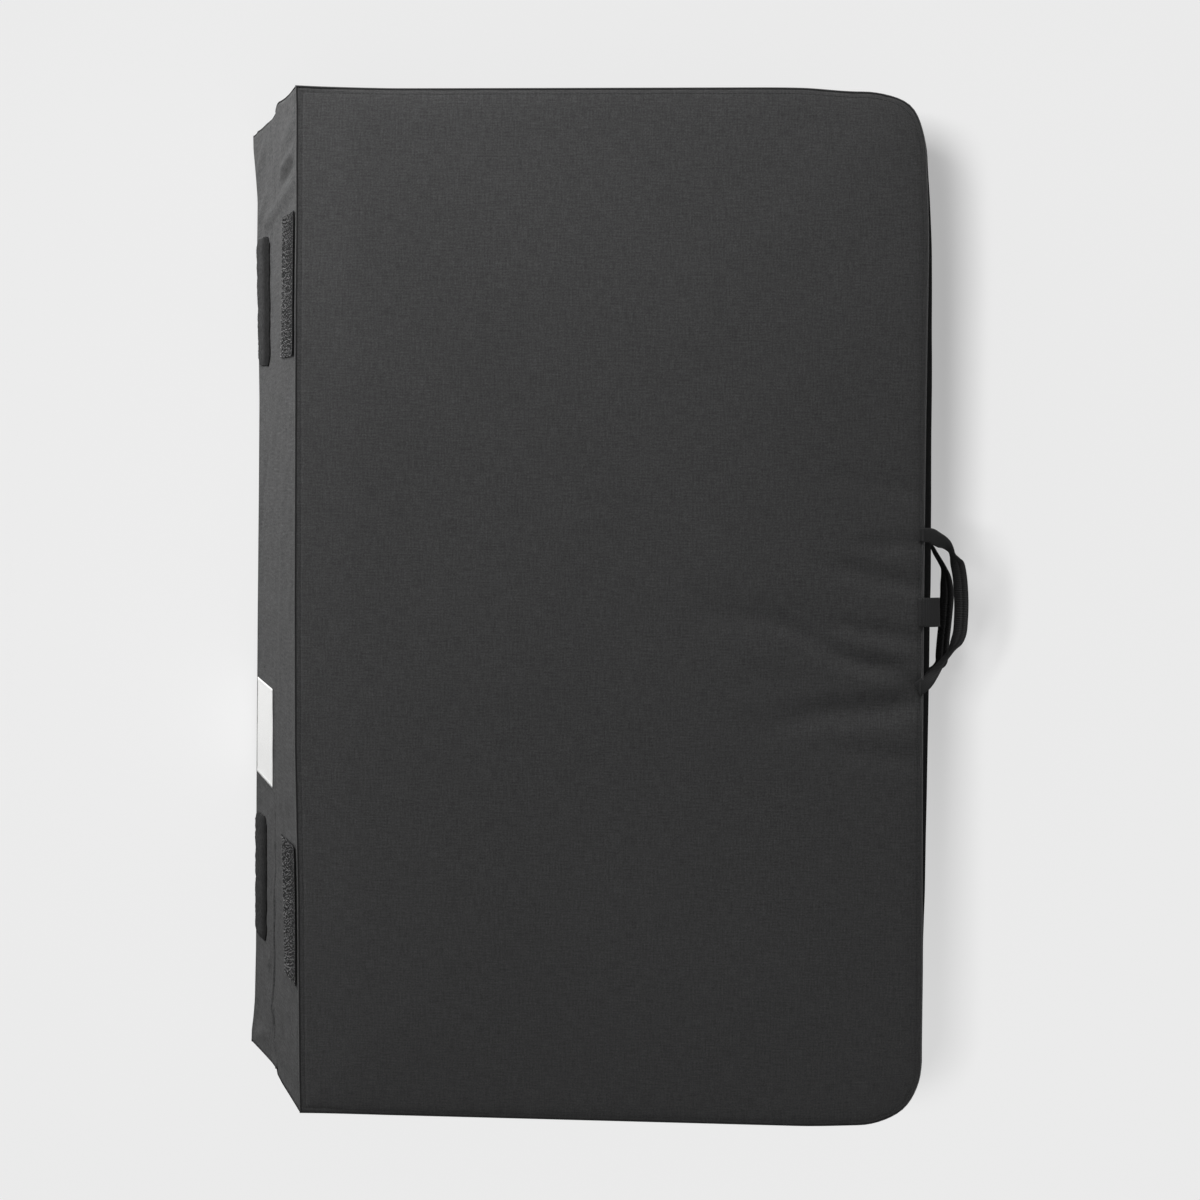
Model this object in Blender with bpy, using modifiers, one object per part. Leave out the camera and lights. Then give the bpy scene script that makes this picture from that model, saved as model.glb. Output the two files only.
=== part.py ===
"""Folding bouldering crash pad, folded shut and lying flat.

Two foam halves meet at a mitred hinge: each half's spine face slants by the same run, so the faces close
on each other when the pad lies open. Metres, +Z up, +X from the hinge to the open end with the handles,
+Y along the hinge. The origin is under the middle of the folded pad.
"""
import math

import bmesh
import bpy
from mathutils import Matrix, Vector

# Pad body
PAD_WIDTH = 0.914
HALF_LENGTH = 0.601
HALF_THICKNESS = 0.1016
MITRE_RUN = 0.046
CORNER_RADIUS = 0.055
WALL_BULGE = 0.010
BULGE_FADE = 0.120
CROWN = 0.006
CROWN_REACH = 0.200
FIRM_FOAM = 0.025

# Cloth and clearances
FABRIC = 0.0012
SEAT_GAP = 0.0003
FOAM_GAP = 0.0006
FOLD_GAP = 0.001
MITRE_SETBACK = 0.0022
HINGE_BEAD_RADIUS = 0.0018

# Hook and loop strips and the sewn patch on the spine
STRIP_LENGTH = 0.127
STRIP_WIDTH = 0.070
STRIP_THICKNESS = 0.0013
STRIP_FROM_HINGE = 0.0635
STRIP_FROM_SIDE = 0.173
PATCH_LENGTH = 0.096
PATCH_WIDTH = 0.088
PATCH_THICKNESS = 0.0005
PATCH_FROM_HINGE = 0.057
PATCH_FROM_SIDE = 0.325

# Handles and tab at the open end
WEBBING_THICKNESS = 0.0015
HANDLE_WIDTH = 0.014
HANDLE_SPAN = 0.132
HANDLE_REACH = 0.034
HANDLE_DROP = 0.018
HANDLE_ROLL = math.radians(35)
BACK_HANDLE_DROP = 0.010
TAB_WIDTH = 0.0265
TAB_REACH = 0.0155
TAB_DROP = 0.006
TAB_FOLD_THICKNESS = 0.003
TAB_FROM_MIDDLE = 0.001

# Zips in the side wall
ZIP_LENGTH = 0.380
ZIP_FROM_HINGE = 0.330
ZIP_TAPE_WIDTH = 0.026
ZIP_TAPE_THICKNESS = 0.0012
ZIP_SLIDER_LENGTH = 0.012
ZIP_SLIDER_WIDTH = 0.010
ZIP_SLIDER_THICKNESS = 0.003
ZIP_PULL_LENGTH = 0.024
ZIP_PULL_WIDTH = 0.005
ZIP_END_MARGIN = 0.010

# Shoulder harness under the lower half
HARNESS_THICKNESS = 0.006
HARNESS_CENTRE = 0.300
STRAP_SPREAD = 0.120
STRAP_CHORD = 0.620
STRAP_BOW = 0.060
SHOULDER_PAD_LENGTH = 0.400
SHOULDER_PAD_WIDTH = 0.065
SHOULDER_PAD_THICKNESS = 0.005
STRAP_WEBBING_WIDTH = 0.025
ANCHOR_LENGTH = 0.050
ANCHOR_WIDTH = 0.070
BUCKLE_LENGTH = 0.026
BUCKLE_WIDTH = 0.036
BUCKLE_THICKNESS = 0.004
BUCKLE_BAR = 0.005

# Mesh steps
ARC_STEPS = 8
FADE_STEPS = 3
WALL_STEPS = 6
CROWN_STEPS = 5
ROUTE_STEPS = 4
STRAP_STEPS = 12
BEAD_SIDES = 12
TIGHTEST_CORNER = 0.2
SMOOTH_ANGLE = math.radians(40)

LOWER = -1
UPPER = 1

# Places worked out from the sizes above
MITRE_SLOPE = MITRE_RUN / HALF_THICKNESS
MITRE_STRETCH = math.hypot(1.0, MITRE_SLOPE)
MITRE_ANGLE = math.atan(MITRE_SLOPE)
LANDING_FACE = FOLD_GAP / 2
LAYER_STEP = FABRIC + SEAT_GAP
FOAM_INSET = FABRIC + FOAM_GAP
WALL_LOW = LANDING_FACE + LAYER_STEP
WALL_HIGH = HALF_THICKNESS - LAYER_STEP
WALL_MIDDLE = (WALL_LOW + WALL_HIGH) / 2
FOAM_JOINT = WALL_LOW + FIRM_FOAM
LANDING_EDGE = math.sqrt((HINGE_BEAD_RADIUS + SEAT_GAP) ** 2 - LANDING_FACE ** 2)
PIVOT_CLEARANCE = WEBBING_THICKNESS / 2 + SEAT_GAP / 2
SPINE_REACH = MITRE_RUN - MITRE_SETBACK
OPEN_REACH = HALF_LENGTH + PIVOT_CLEARANCE + HANDLE_REACH + HANDLE_WIDTH / 2 * math.cos(HANDLE_ROLL)
HINGE_X = (SPINE_REACH - OPEN_REACH) / 2
HINGE_Z = HARNESS_THICKNESS + SEAT_GAP + HALF_THICKNESS
HINGE = Vector((HINGE_X, 0.0, HINGE_Z))


def clear_scene():
    """Remove what the file opened with."""
    for old in list(bpy.data.objects):
        bpy.data.objects.remove(old, do_unlink=True)


def make_collection(name):
    """A collection linked to the scene."""
    collection = bpy.data.collections.new(name)
    bpy.context.scene.collection.children.link(collection)
    return collection


def make_material(name, colour, roughness):
    """A plain surface with the part's colour."""
    material = bpy.data.materials.new(name)
    material.use_nodes = True
    shader = material.node_tree.nodes["Principled BSDF"]
    shader.inputs["Base Color"].default_value = (*colour, 1.0)
    shader.inputs["Roughness"].default_value = roughness
    shader.inputs["Metallic"].default_value = 0.0
    return material


def make_axis(name, place):
    """An empty that marks a joint's axis and carries the pieces that turn on it."""
    axis = bpy.data.objects.new(name, None)
    axis.empty_display_size = 0.05
    axis.location = place
    GUIDES.objects.link(axis)
    return axis


def place_object(name, data, look, axis=None):
    """Put a piece in the part's collection with its material, carried by a joint's axis if it moves."""
    piece = bpy.data.objects.new(name, data)
    data.materials.append(make_material(name, *look))
    PARTS.objects.link(piece)
    if axis is not None:
        piece.parent = axis
        piece.matrix_parent_inverse = Matrix.Translation(-axis.location)
    return piece


def finish_mesh(name, bm, look, axis=None, smooth=False):
    """Turn a closed bmesh into a piece."""
    bmesh.ops.recalc_face_normals(bm, faces=bm.faces)
    mesh = bpy.data.meshes.new(name)
    bm.to_mesh(mesh)
    bm.free()
    if smooth:
        mesh.shade_smooth()
        mesh.set_sharp_from_angle(angle=SMOOTH_ANGLE)
    return place_object(name, mesh, look, axis)


def box_piece(name, size, place, look, axis=None, turn=None):
    """A box with its centre at a place, turned by a matrix."""
    bm = bmesh.new()
    bmesh.ops.create_cube(bm, size=1.0)
    bmesh.ops.scale(bm, verts=bm.verts, vec=size)
    if turn is not None:
        bmesh.ops.transform(bm, matrix=turn, verts=bm.verts)
    bmesh.ops.translate(bm, verts=bm.verts, vec=place)
    return finish_mesh(name, bm, look, axis)


def flat_piece(name, outline, thickness, place, look, axis=None, upright=False):
    """A flat outline with a thickness, lying down or standing in the XZ plane."""
    curve = bpy.data.curves.new(name, "CURVE")
    curve.dimensions = "2D"
    curve.fill_mode = "BOTH"
    curve.extrude = thickness / 2
    spline = curve.splines.new("POLY")
    spline.points.add(len(outline) - 1)
    for point, (across, along) in zip(spline.points, outline):
        point.co = (across, along, 0.0, 1.0)
    spline.use_cyclic_u = True
    piece = place_object(name, curve, look, axis)
    piece.location = place
    if upright:
        piece.rotation_euler = (math.pi / 2, 0.0, 0.0)
    return piece


def ease(share):
    """A smooth rise from 0 to 1."""
    share = min(max(share, 0.0), 1.0)
    return share * share * (3.0 - 2.0 * share)


def wall_levels(low, high):
    """Depths at which a bulging wall or the foam behind it is drawn, shared so that they bulge alike."""
    height = WALL_HIGH - WALL_LOW
    shared = [WALL_LOW + height * step / WALL_STEPS for step in range(WALL_STEPS + 1)]
    return [low] + [depth for depth in shared if low + SEAT_GAP < depth < high - SEAT_GAP] + [high]


def wall_bulge(depth):
    """How far the stuffed wall stands out at a depth from the hinge plane, drawn in at both seams."""
    share = (depth - WALL_LOW) / (WALL_HIGH - WALL_LOW) * WALL_STEPS
    step = min(max(math.floor(share), 0), WALL_STEPS - 1)
    below, above = (4.0 * level / WALL_STEPS * (1.0 - level / WALL_STEPS) for level in (step, step + 1))
    return WALL_BULGE * (below + (above - below) * (share - step))


def crown_height(inset):
    """How far the stuffed face rises at a distance in from its seam."""
    share = min(inset / CROWN_REACH, 1.0)
    return CROWN * (1.0 - (1.0 - share) ** 2)


def crown_insets():
    """Distances in from the seam at which the face is drawn, close together at the seam."""
    return [CROWN_REACH * (step / CROWN_STEPS) ** 2 for step in range(CROWN_STEPS + 1)]


def spine_line(side, depth):
    """Distance from the hinge axis to a half's spine face at a depth."""
    return side * MITRE_SLOPE * depth + MITRE_SETBACK


def outline(spine, inset=0.0, bulge=0.0):
    """One level of a half as (distance from hinge, along hinge), from the spine round the open end."""
    radius = max(CORNER_RADIUS - inset, CORNER_RADIUS * TIGHTEST_CORNER)
    side_edge = PAD_WIDTH / 2 - inset
    centre = HALF_LENGTH - inset - radius
    near = []
    for step in range(FADE_STEPS + 1):
        share = step / FADE_STEPS
        near.append((spine + BULGE_FADE * share, side_edge + bulge * ease(share)))
    for step in range(ARC_STEPS + 1):
        turn = math.pi / 2 * (1 - step / ARC_STEPS)
        reach = radius + bulge
        near.append((centre + reach * math.cos(turn), side_edge - radius + reach * math.sin(turn)))
    far = [(distance, -along) for distance, along in reversed(near)]
    return near + far


def level(bm, side, depth, spine, inset=0.0, bulge=0.0):
    """The vertices of one level of a half."""
    points = outline(spine, inset, bulge)
    return [bm.verts.new((HINGE_X + u, y, HINGE_Z + side * depth)) for u, y in points]


def bridge(bm, first, second, closed):
    """Quads between two levels."""
    count = len(first)
    for index in range(count if closed else count - 1):
        after = (index + 1) % count
        bm.faces.new((first[index], first[after], second[after], second[index]))


def cloth_shell(name, bm, centre, look, axis):
    """Turn an open surface outward from a centre and give it the cloth's thickness on its inner side."""
    bmesh.ops.recalc_face_normals(bm, faces=bm.faces)
    leaning = sum(face.calc_area() * face.normal.dot(face.calc_center_median() - centre) for face in bm.faces)
    if leaning < 0.0:
        bmesh.ops.reverse_faces(bm, faces=bm.faces)
    mesh = bpy.data.meshes.new(name)
    bm.to_mesh(mesh)
    bm.free()
    piece = place_object(name, mesh, look, axis)
    shell = piece.modifiers.new("cloth", "SOLIDIFY")
    shell.thickness = FABRIC
    shell.offset = -1.0
    shell.use_even_offset = True
    return piece


def half_centre(side):
    """The middle of one half."""
    return Vector((HINGE_X + HALF_LENGTH / 2, 0.0, HINGE_Z + side * WALL_MIDDLE))


def panel(name, side, depth, spine, crown, look, axis):
    """A cloth face: a sheet with the face's crown."""
    bm = bmesh.new()
    rings = []
    for inset in crown_insets() if crown else [0.0]:
        rise = crown_height(inset) if crown else 0.0
        rings.append(level(bm, side, depth + rise, spine + inset, inset))
    for first, second in zip(rings, rings[1:]):
        bridge(bm, first, second, True)
    bm.faces.new(rings[-1])
    return cloth_shell(name, bm, half_centre(side), look, axis)


def boxing(name, side, look, axis):
    """The wall that runs round three sides, from one end of the spine to the other."""
    bm = bmesh.new()
    rings = []
    for depth in wall_levels(WALL_LOW, WALL_HIGH):
        spine = spine_line(side, depth) + LAYER_STEP * MITRE_STRETCH
        rings.append(level(bm, side, depth, spine, 0.0, wall_bulge(depth)))
    for first, second in zip(rings, rings[1:]):
        bridge(bm, first, second, False)
    return cloth_shell(name, bm, half_centre(side), look, axis)


def foam(name, side, low, high, crown, look, axis):
    """A foam slab that fills its layer of the cover, with the cover's bulge and crown."""
    bm = bmesh.new()
    rings = []
    for depth in wall_levels(low, high):
        spine = spine_line(side, depth) + LAYER_STEP * MITRE_STRETCH
        rings.append(level(bm, side, depth, spine, FOAM_INSET, wall_bulge(depth)))
    if crown:
        spine = spine_line(side, high) + LAYER_STEP * MITRE_STRETCH
        for inset in crown_insets()[1:]:
            rings.append(level(bm, side, high + crown_height(inset), spine + inset, FOAM_INSET + inset))
    for first, second in zip(rings, rings[1:]):
        bridge(bm, first, second, True)
    bm.faces.new(rings[0])
    bm.faces.new(rings[-1])
    return finish_mesh(name, bm, look, axis)


def spine_panel(name, side, look, axis):
    """The slanted cloth face between the hinge and the outer face's seam."""
    height = (WALL_HIGH - WALL_LOW - 2 * FABRIC * math.sin(MITRE_ANGLE)) * MITRE_STRETCH
    place = on_spine(side * WALL_MIDDLE, 0.0, -FABRIC / 2)
    turn = Matrix.Rotation(MITRE_ANGLE, 4, "Y")
    return box_piece(name, (FABRIC, PAD_WIDTH, height), place, look, axis, turn)


def on_spine(rise, along, stand_off):
    """A point above or below the hinge on the spine's slanted plane, standing off along its normal."""
    across = HINGE_X + MITRE_SETBACK + MITRE_SLOPE * rise
    normal = Vector((-math.cos(MITRE_ANGLE), 0.0, math.sin(MITRE_ANGLE)))
    return Vector((across, along, HINGE_Z + rise)) + normal * stand_off


def spine_patch(name, rise, along, size, look, axis):
    """A flat strip sewn on the spine face."""
    thickness, length, width = size
    place = on_spine(rise, along, SEAT_GAP + thickness / 2)
    turn = Matrix.Rotation(MITRE_ANGLE, 4, "Y")
    return box_piece(name, (thickness, length, width), place, look, axis, turn)


def hinge_binding(name, look):
    """The bound seam on the hinge axis, where the two landing faces are sewn together."""
    bm = bmesh.new()
    bmesh.ops.create_cone(
        bm,
        cap_ends=True,
        segments=BEAD_SIDES,
        radius1=HINGE_BEAD_RADIUS,
        radius2=HINGE_BEAD_RADIUS,
        depth=PAD_WIDTH,
    )
    bmesh.ops.rotate(bm, verts=bm.verts, matrix=Matrix.Rotation(math.pi / 2, 3, "X"))
    bmesh.ops.translate(bm, verts=bm.verts, vec=HINGE)
    return finish_mesh(name, bm, look, smooth=True)


def smooth_route(points):
    """Points read from a smooth curve through the route's own points."""
    ends = [points[0]] + list(points) + [points[-1]]
    route = []
    for before, start, end, after in zip(ends, ends[1:], ends[2:], ends[3:]):
        for step in range(ROUTE_STEPS):
            t = step / ROUTE_STEPS
            leaving = (end - before) / 2
            arriving = (after - start) / 2
            route.append(
                start * (2 * t ** 3 - 3 * t ** 2 + 1)
                + leaving * (t ** 3 - 2 * t ** 2 + t)
                + end * (3 * t ** 2 - 2 * t ** 3)
                + arriving * (t ** 3 - t ** 2)
            )
    route.append(points[-1])
    return route


def webbing_section(name, width, thickness):
    """The cross-section that a strap is swept with."""
    curve = bpy.data.curves.new(name, "CURVE")
    curve.dimensions = "2D"
    curve.fill_mode = "NONE"
    spline = curve.splines.new("POLY")
    corners = [(-0.5, -0.5), (-0.5, 0.5), (0.5, 0.5), (0.5, -0.5)]
    spline.points.add(len(corners) - 1)
    for point, (across, up) in zip(spline.points, corners):
        point.co = (across * width, up * thickness, 0.0, 1.0)
    spline.use_cyclic_u = True
    section = bpy.data.objects.new(name, curve)
    section.hide_render = True
    section.display_type = "WIRE"
    GUIDES.objects.link(section)
    return section


def handle(name, drop, section, look, axis):
    """A webbing grab loop: two legs leave the seam flat and turn into a tilted band between them."""
    half = HANDLE_SPAN / 2
    leg = [
        (0.0, 1.0, 0.0, 0.0),
        (0.30, 0.99, 0.10, 0.05),
        (0.62, 0.88, 0.40, 0.35),
        (0.90, 0.66, 0.85, 0.80),
        (1.0, 0.33, 1.0, 1.0),
    ]
    stations = leg + [(1.0, 0.0, 1.0, 1.0)] + [(o, -a, d, r) for o, a, d, r in reversed(leg)]
    shape = [Vector((HANDLE_REACH * o, half * a, -drop * d, -HANDLE_ROLL * r)) for o, a, d, r in stations]
    curve = bpy.data.curves.new(name, "CURVE")
    curve.dimensions = "3D"
    curve.twist_mode = "Z_UP"
    curve.bevel_mode = "OBJECT"
    curve.bevel_object = section
    curve.use_fill_caps = True
    route = smooth_route(shape)
    spline = curve.splines.new("POLY")
    spline.points.add(len(route) - 1)
    for point, station in zip(spline.points, route):
        point.co = (station[0], station[1], station[2], 1.0)
        point.tilt = station[3]
    piece = place_object(name, curve, look, axis)
    piece.location = axis.location
    return piece


def end_tab(name, look, axis):
    """A short webbing tab folded over at its free end."""
    line = [
        (0.0, 0.0, WEBBING_THICKNESS),
        (0.35 * TAB_REACH, -0.05 * TAB_DROP, WEBBING_THICKNESS),
        (0.70 * TAB_REACH, -0.40 * TAB_DROP, TAB_FOLD_THICKNESS),
        (0.93 * TAB_REACH, -0.90 * TAB_DROP, TAB_FOLD_THICKNESS),
        (TAB_REACH, -TAB_DROP, TAB_FOLD_THICKNESS / 2),
    ]
    above = [(out, up + thickness / 2) for out, up, thickness in line]
    below = [(out, up - thickness / 2) for out, up, thickness in line]
    place = axis.location + Vector((0.0, TAB_FROM_MIDDLE, 0.0))
    return flat_piece(name, above + below[::-1], TAB_WIDTH, place, look, axis, upright=True)


def zip_tape(name, side, look, axis):
    """The zip's tape, laid flat along the middle of the side wall."""
    size = (ZIP_LENGTH, ZIP_TAPE_THICKNESS, ZIP_TAPE_WIDTH)
    across = PAD_WIDTH / 2 + WALL_BULGE + SEAT_GAP + ZIP_TAPE_THICKNESS / 2
    place = Vector((HINGE_X + ZIP_FROM_HINGE, -across, HINGE_Z + side * WALL_MIDDLE))
    return box_piece(name, size, place, look, axis)


def zip_slider(name, side, look, axis):
    """The zip's slider with its flat pull, at the closed end by the handles."""
    body = ZIP_SLIDER_LENGTH / 2
    high = ZIP_SLIDER_WIDTH / 2
    pull = ZIP_PULL_WIDTH / 2
    tail = body + ZIP_PULL_LENGTH
    shape = [(body, high), (-body, high), (-body, pull), (-tail, pull)]
    shape += [(across, -up) for across, up in reversed(shape)]
    out = PAD_WIDTH / 2 + WALL_BULGE + 2 * SEAT_GAP + ZIP_TAPE_THICKNESS + ZIP_SLIDER_THICKNESS / 2
    end = ZIP_FROM_HINGE + ZIP_LENGTH / 2 - ZIP_END_MARGIN - body
    place = Vector((HINGE_X + end, -out, HINGE_Z + side * WALL_MIDDLE))
    return flat_piece(name, shape, ZIP_SLIDER_THICKNESS, place, look, axis, upright=True)


def strap_edge(share):
    """How far a shoulder strap bows away from the line through its sewn ends."""
    return STRAP_BOW * 4.0 * share * (1.0 - share)


def strap_outline(start, end, width, hand):
    """A stretch of bowed strap, its inner edge following the bow."""
    inner = []
    for step in range(STRAP_STEPS + 1):
        along = start + (end - start) * step / STRAP_STEPS
        inner.append((strap_edge(along / STRAP_CHORD), STRAP_CHORD / 2 - along))
    outer = [(across + width, along) for across, along in inner]
    return [(hand * across, along) for across, along in inner + outer[::-1]]


def shoulder_strap(name, hand, axis):
    """One strap: the padded part, the ladder lock buckle and the webbing down to the lower anchor."""
    buckle_start = SHOULDER_PAD_LENGTH + SEAT_GAP
    webbing_start = buckle_start + BUCKLE_LENGTH + SEAT_GAP
    pad = strap_outline(0.0, SHOULDER_PAD_LENGTH, SHOULDER_PAD_WIDTH, hand)
    pad_place = axis.location - Vector((0.0, 0.0, SHOULDER_PAD_THICKNESS / 2))
    flat_piece(name + "_shoulder_pad", pad, SHOULDER_PAD_THICKNESS, pad_place, CUSHION_CLOTH, axis)
    webbing = strap_outline(webbing_start, STRAP_CHORD, STRAP_WEBBING_WIDTH, hand)
    webbing_place = axis.location - Vector((0.0, 0.0, WEBBING_THICKNESS / 2))
    flat_piece(name + "_strap_webbing", webbing, WEBBING_THICKNESS, webbing_place, WEBBING, axis)
    ladder_lock(name + "_ladder_lock", hand, buckle_start, axis)


def ladder_lock(name, hand, start, axis):
    """The buckle that joins the padded part to the webbing: a plate with three raised bars."""
    top = 0.0
    floor = -BUCKLE_THICKNESS
    valley = -BUCKLE_THICKNESS / 2
    pitch = (BUCKLE_LENGTH - BUCKLE_BAR) / 2
    profile = [(0.0, top), (BUCKLE_LENGTH, top)]
    for bar in (2, 1, 0):
        profile += [(bar * pitch + BUCKLE_BAR, floor), (bar * pitch, floor)]
        if bar:
            profile += [(bar * pitch, valley), ((bar - 1) * pitch + BUCKLE_BAR, valley)]
    across = strap_edge((start + BUCKLE_LENGTH / 2) / STRAP_CHORD) + BUCKLE_WIDTH / 2
    curve_place = axis.location + Vector((hand * across, STRAP_CHORD / 2 - start, 0.0))
    piece = flat_piece(name, profile, BUCKLE_WIDTH, curve_place, BUCKLE_PLASTIC, axis)
    piece.rotation_euler = (math.pi / 2, 0.0, -math.pi / 2)
    return piece


def strap_anchor(name, hand, end, width):
    """A folded webbing patch sewn under the pad, where a strap's end is fixed."""
    place = Vector((
        HINGE_X + HARNESS_CENTRE + hand * (STRAP_SPREAD / 2 + width / 2),
        end * (STRAP_CHORD / 2 + SEAT_GAP + ANCHOR_LENGTH / 2),
        HARNESS_THICKNESS / 2,
    ))
    return box_piece(name, (width, ANCHOR_LENGTH, HARNESS_THICKNESS), place, WEBBING)


def build_half(prefix, side, axis):
    """Cover, foam and zip of one half."""
    crown = side == UPPER
    outer_spine = spine_line(side, HALF_THICKNESS)
    panel(prefix + "_outer_panel", side, HALF_THICKNESS, outer_spine, crown, GREY_CLOTH, axis)
    panel(prefix + "_landing_panel", side, LANDING_FACE, LANDING_EDGE, False, DARK_CLOTH, axis)
    boxing(prefix + "_boxing", side, DARK_CLOTH, axis)
    spine_panel(prefix + "_spine_panel", side, GREY_CLOTH, axis)
    foam(prefix + "_firm_foam", side, WALL_LOW, FOAM_JOINT, False, FIRM_FOAM_LOOK, axis)
    foam(prefix + "_soft_foam", side, FOAM_JOINT + SEAT_GAP, WALL_HIGH, crown, SOFT_FOAM_LOOK, axis)
    zip_tape(prefix + "_zip_tape", side, DARK_CLOTH, axis)
    zip_slider(prefix + "_zip_slider", side, SLIDER_METAL, axis)


def build_spine(fold_axis):
    """Hinge binding, hook and loop strips and the blank patch."""
    hinge_binding("hinge_binding", DARK_CLOTH)
    size = (STRIP_THICKNESS, STRIP_LENGTH, STRIP_WIDTH)
    for place, end in (("far", 1), ("near", -1)):
        along = end * (PAD_WIDTH / 2 - STRIP_FROM_SIDE)
        spine_patch("hook_strip_" + place, STRIP_FROM_HINGE, along, size, HOOK_TAPE, fold_axis)
        spine_patch("loop_strip_" + place, -STRIP_FROM_HINGE, along, size, LOOP_TAPE, None)
    patch = (PATCH_THICKNESS, PATCH_LENGTH, PATCH_WIDTH)
    patch_along = PATCH_FROM_SIDE - PAD_WIDTH / 2
    spine_patch("blank_patch", -PATCH_FROM_HINGE, patch_along, patch, WHITE_CLOTH, None)


def build_open_end(fold_axis):
    """Handles on both halves and the tab between the upper handle's legs."""
    section = webbing_section("webbing_section", HANDLE_WIDTH, WEBBING_THICKNESS)
    out = HINGE_X + HALF_LENGTH + PIVOT_CLEARANCE
    upper_seam = HINGE_Z + HALF_THICKNESS - FABRIC / 2
    lower_seam = HINGE_Z - LANDING_FACE - FABRIC / 2
    upper_axis = make_axis("upper_handle_axis", Vector((out, 0.0, upper_seam)))
    lower_axis = make_axis("lower_handle_axis", Vector((out, 0.0, lower_seam)))
    tab_axis = make_axis("end_tab_axis", Vector((out, 0.0, upper_seam)))
    for axis in (upper_axis, tab_axis):
        axis.parent = fold_axis
        axis.matrix_parent_inverse = Matrix.Translation(-fold_axis.location)
    handle("upper_handle", HANDLE_DROP, section, WEBBING, upper_axis)
    handle("lower_handle", BACK_HANDLE_DROP, section, WEBBING, lower_axis)
    end_tab("end_tab", WEBBING, tab_axis)


def build_harness():
    """Two bowed shoulder straps and the four patches that hold their ends."""
    for name, hand in (("left", -1), ("right", 1)):
        across = HINGE_X + HARNESS_CENTRE + hand * STRAP_SPREAD / 2
        axis = make_axis(name + "_strap_axis", Vector((across, 0.0, HARNESS_THICKNESS)))
        shoulder_strap(name, hand, axis)
        strap_anchor(name + "_top_anchor", hand, 1, ANCHOR_WIDTH)
        strap_anchor(name + "_bottom_anchor", hand, -1, ANCHOR_WIDTH)


GREY_CLOTH = ((0.050, 0.050, 0.051), 0.85)
DARK_CLOTH = ((0.020, 0.020, 0.021), 0.85)
CUSHION_CLOTH = ((0.030, 0.030, 0.031), 0.85)
WHITE_CLOTH = ((0.85, 0.85, 0.84), 0.70)
WEBBING = ((0.018, 0.018, 0.019), 0.75)
HOOK_TAPE = ((0.035, 0.035, 0.036), 0.55)
LOOP_TAPE = ((0.020, 0.020, 0.021), 0.95)
FIRM_FOAM_LOOK = ((0.045, 0.045, 0.048), 0.70)
SOFT_FOAM_LOOK = ((0.62, 0.58, 0.42), 0.90)
SLIDER_METAL = ((0.10, 0.10, 0.11), 0.40)
BUCKLE_PLASTIC = ((0.012, 0.012, 0.013), 0.45)

clear_scene()
PARTS = make_collection("bouldering_crash_pad")
GUIDES = make_collection("guides")
FOLD_AXIS = make_axis("fold_axis", HINGE)
build_half("lower", LOWER, None)
build_half("upper", UPPER, FOLD_AXIS)
build_spine(FOLD_AXIS)
build_open_end(FOLD_AXIS)
build_harness()
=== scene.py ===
"""Bouldering crash pad, folded shut: cloth covers, seams, straps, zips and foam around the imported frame."""
import math
import random

import bmesh
import bpy
from mathutils import Matrix, Vector, noise


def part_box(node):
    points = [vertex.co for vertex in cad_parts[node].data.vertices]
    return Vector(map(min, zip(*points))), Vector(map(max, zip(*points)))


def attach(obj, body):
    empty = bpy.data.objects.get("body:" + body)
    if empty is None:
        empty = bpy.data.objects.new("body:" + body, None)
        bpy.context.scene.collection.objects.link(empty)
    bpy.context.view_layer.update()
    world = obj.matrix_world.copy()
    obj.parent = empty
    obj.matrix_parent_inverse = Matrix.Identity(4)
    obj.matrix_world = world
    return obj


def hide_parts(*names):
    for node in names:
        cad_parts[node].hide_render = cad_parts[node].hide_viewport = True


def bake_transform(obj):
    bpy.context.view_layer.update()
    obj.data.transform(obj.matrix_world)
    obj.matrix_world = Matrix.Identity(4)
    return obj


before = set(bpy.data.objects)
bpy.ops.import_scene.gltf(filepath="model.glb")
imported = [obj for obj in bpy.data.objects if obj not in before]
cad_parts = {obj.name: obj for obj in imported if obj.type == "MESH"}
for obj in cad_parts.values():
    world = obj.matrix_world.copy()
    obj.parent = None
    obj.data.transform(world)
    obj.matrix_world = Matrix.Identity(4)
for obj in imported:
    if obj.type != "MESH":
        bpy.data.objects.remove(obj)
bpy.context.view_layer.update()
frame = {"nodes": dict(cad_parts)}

# The pad's own sizes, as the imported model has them
UPPER = 1
LOWER = -1
HINGE = sum(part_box("hinge_binding"), Vector()) / 2
HALF_WIDTH = 0.457
HALF_LENGTH = 0.601
THICKNESS = 0.1016
MITRE_RUN = 0.046
MITRE_SLOPE = MITRE_RUN / THICKNESS
MITRE_STRETCH = math.hypot(1.0, MITRE_SLOPE)
MITRE_SETBACK = 0.0022
CORNER = 0.055
CLOTH = 0.0012
LANDING_DEPTH = 0.0005
SIDE_RUN = HALF_LENGTH - CORNER
ARC_RUN = math.pi / 2 * CORNER
RIM_RUN = 2 * (SIDE_RUN + ARC_RUN + HALF_WIDTH - CORNER)
SPINE_NORMAL = Vector((-1.0, 0.0, MITRE_SLOPE)) / MITRE_STRETCH
SPINE_UP = Vector((MITRE_SLOPE, 0.0, 1.0)) / MITRE_STRETCH
UP = Vector((0.0, 0.0, 1.0))
ALONG = Vector((0.0, 1.0, 0.0))
OUT = Vector((1.0, 0.0, 0.0))

# How the stuffed faces rise from their seams, and how far the side walls stand out at -Y and at +Y
CROWN = 0.0044
CROWN_REACH = 0.20
EDGE_ROLL = 0.0026
EDGE_ROLL_REACH = 0.0060
STITCH_INSET = 0.0050
SIDE_BULGE = {-1: 0.0100, 1: 0.0062}

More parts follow.
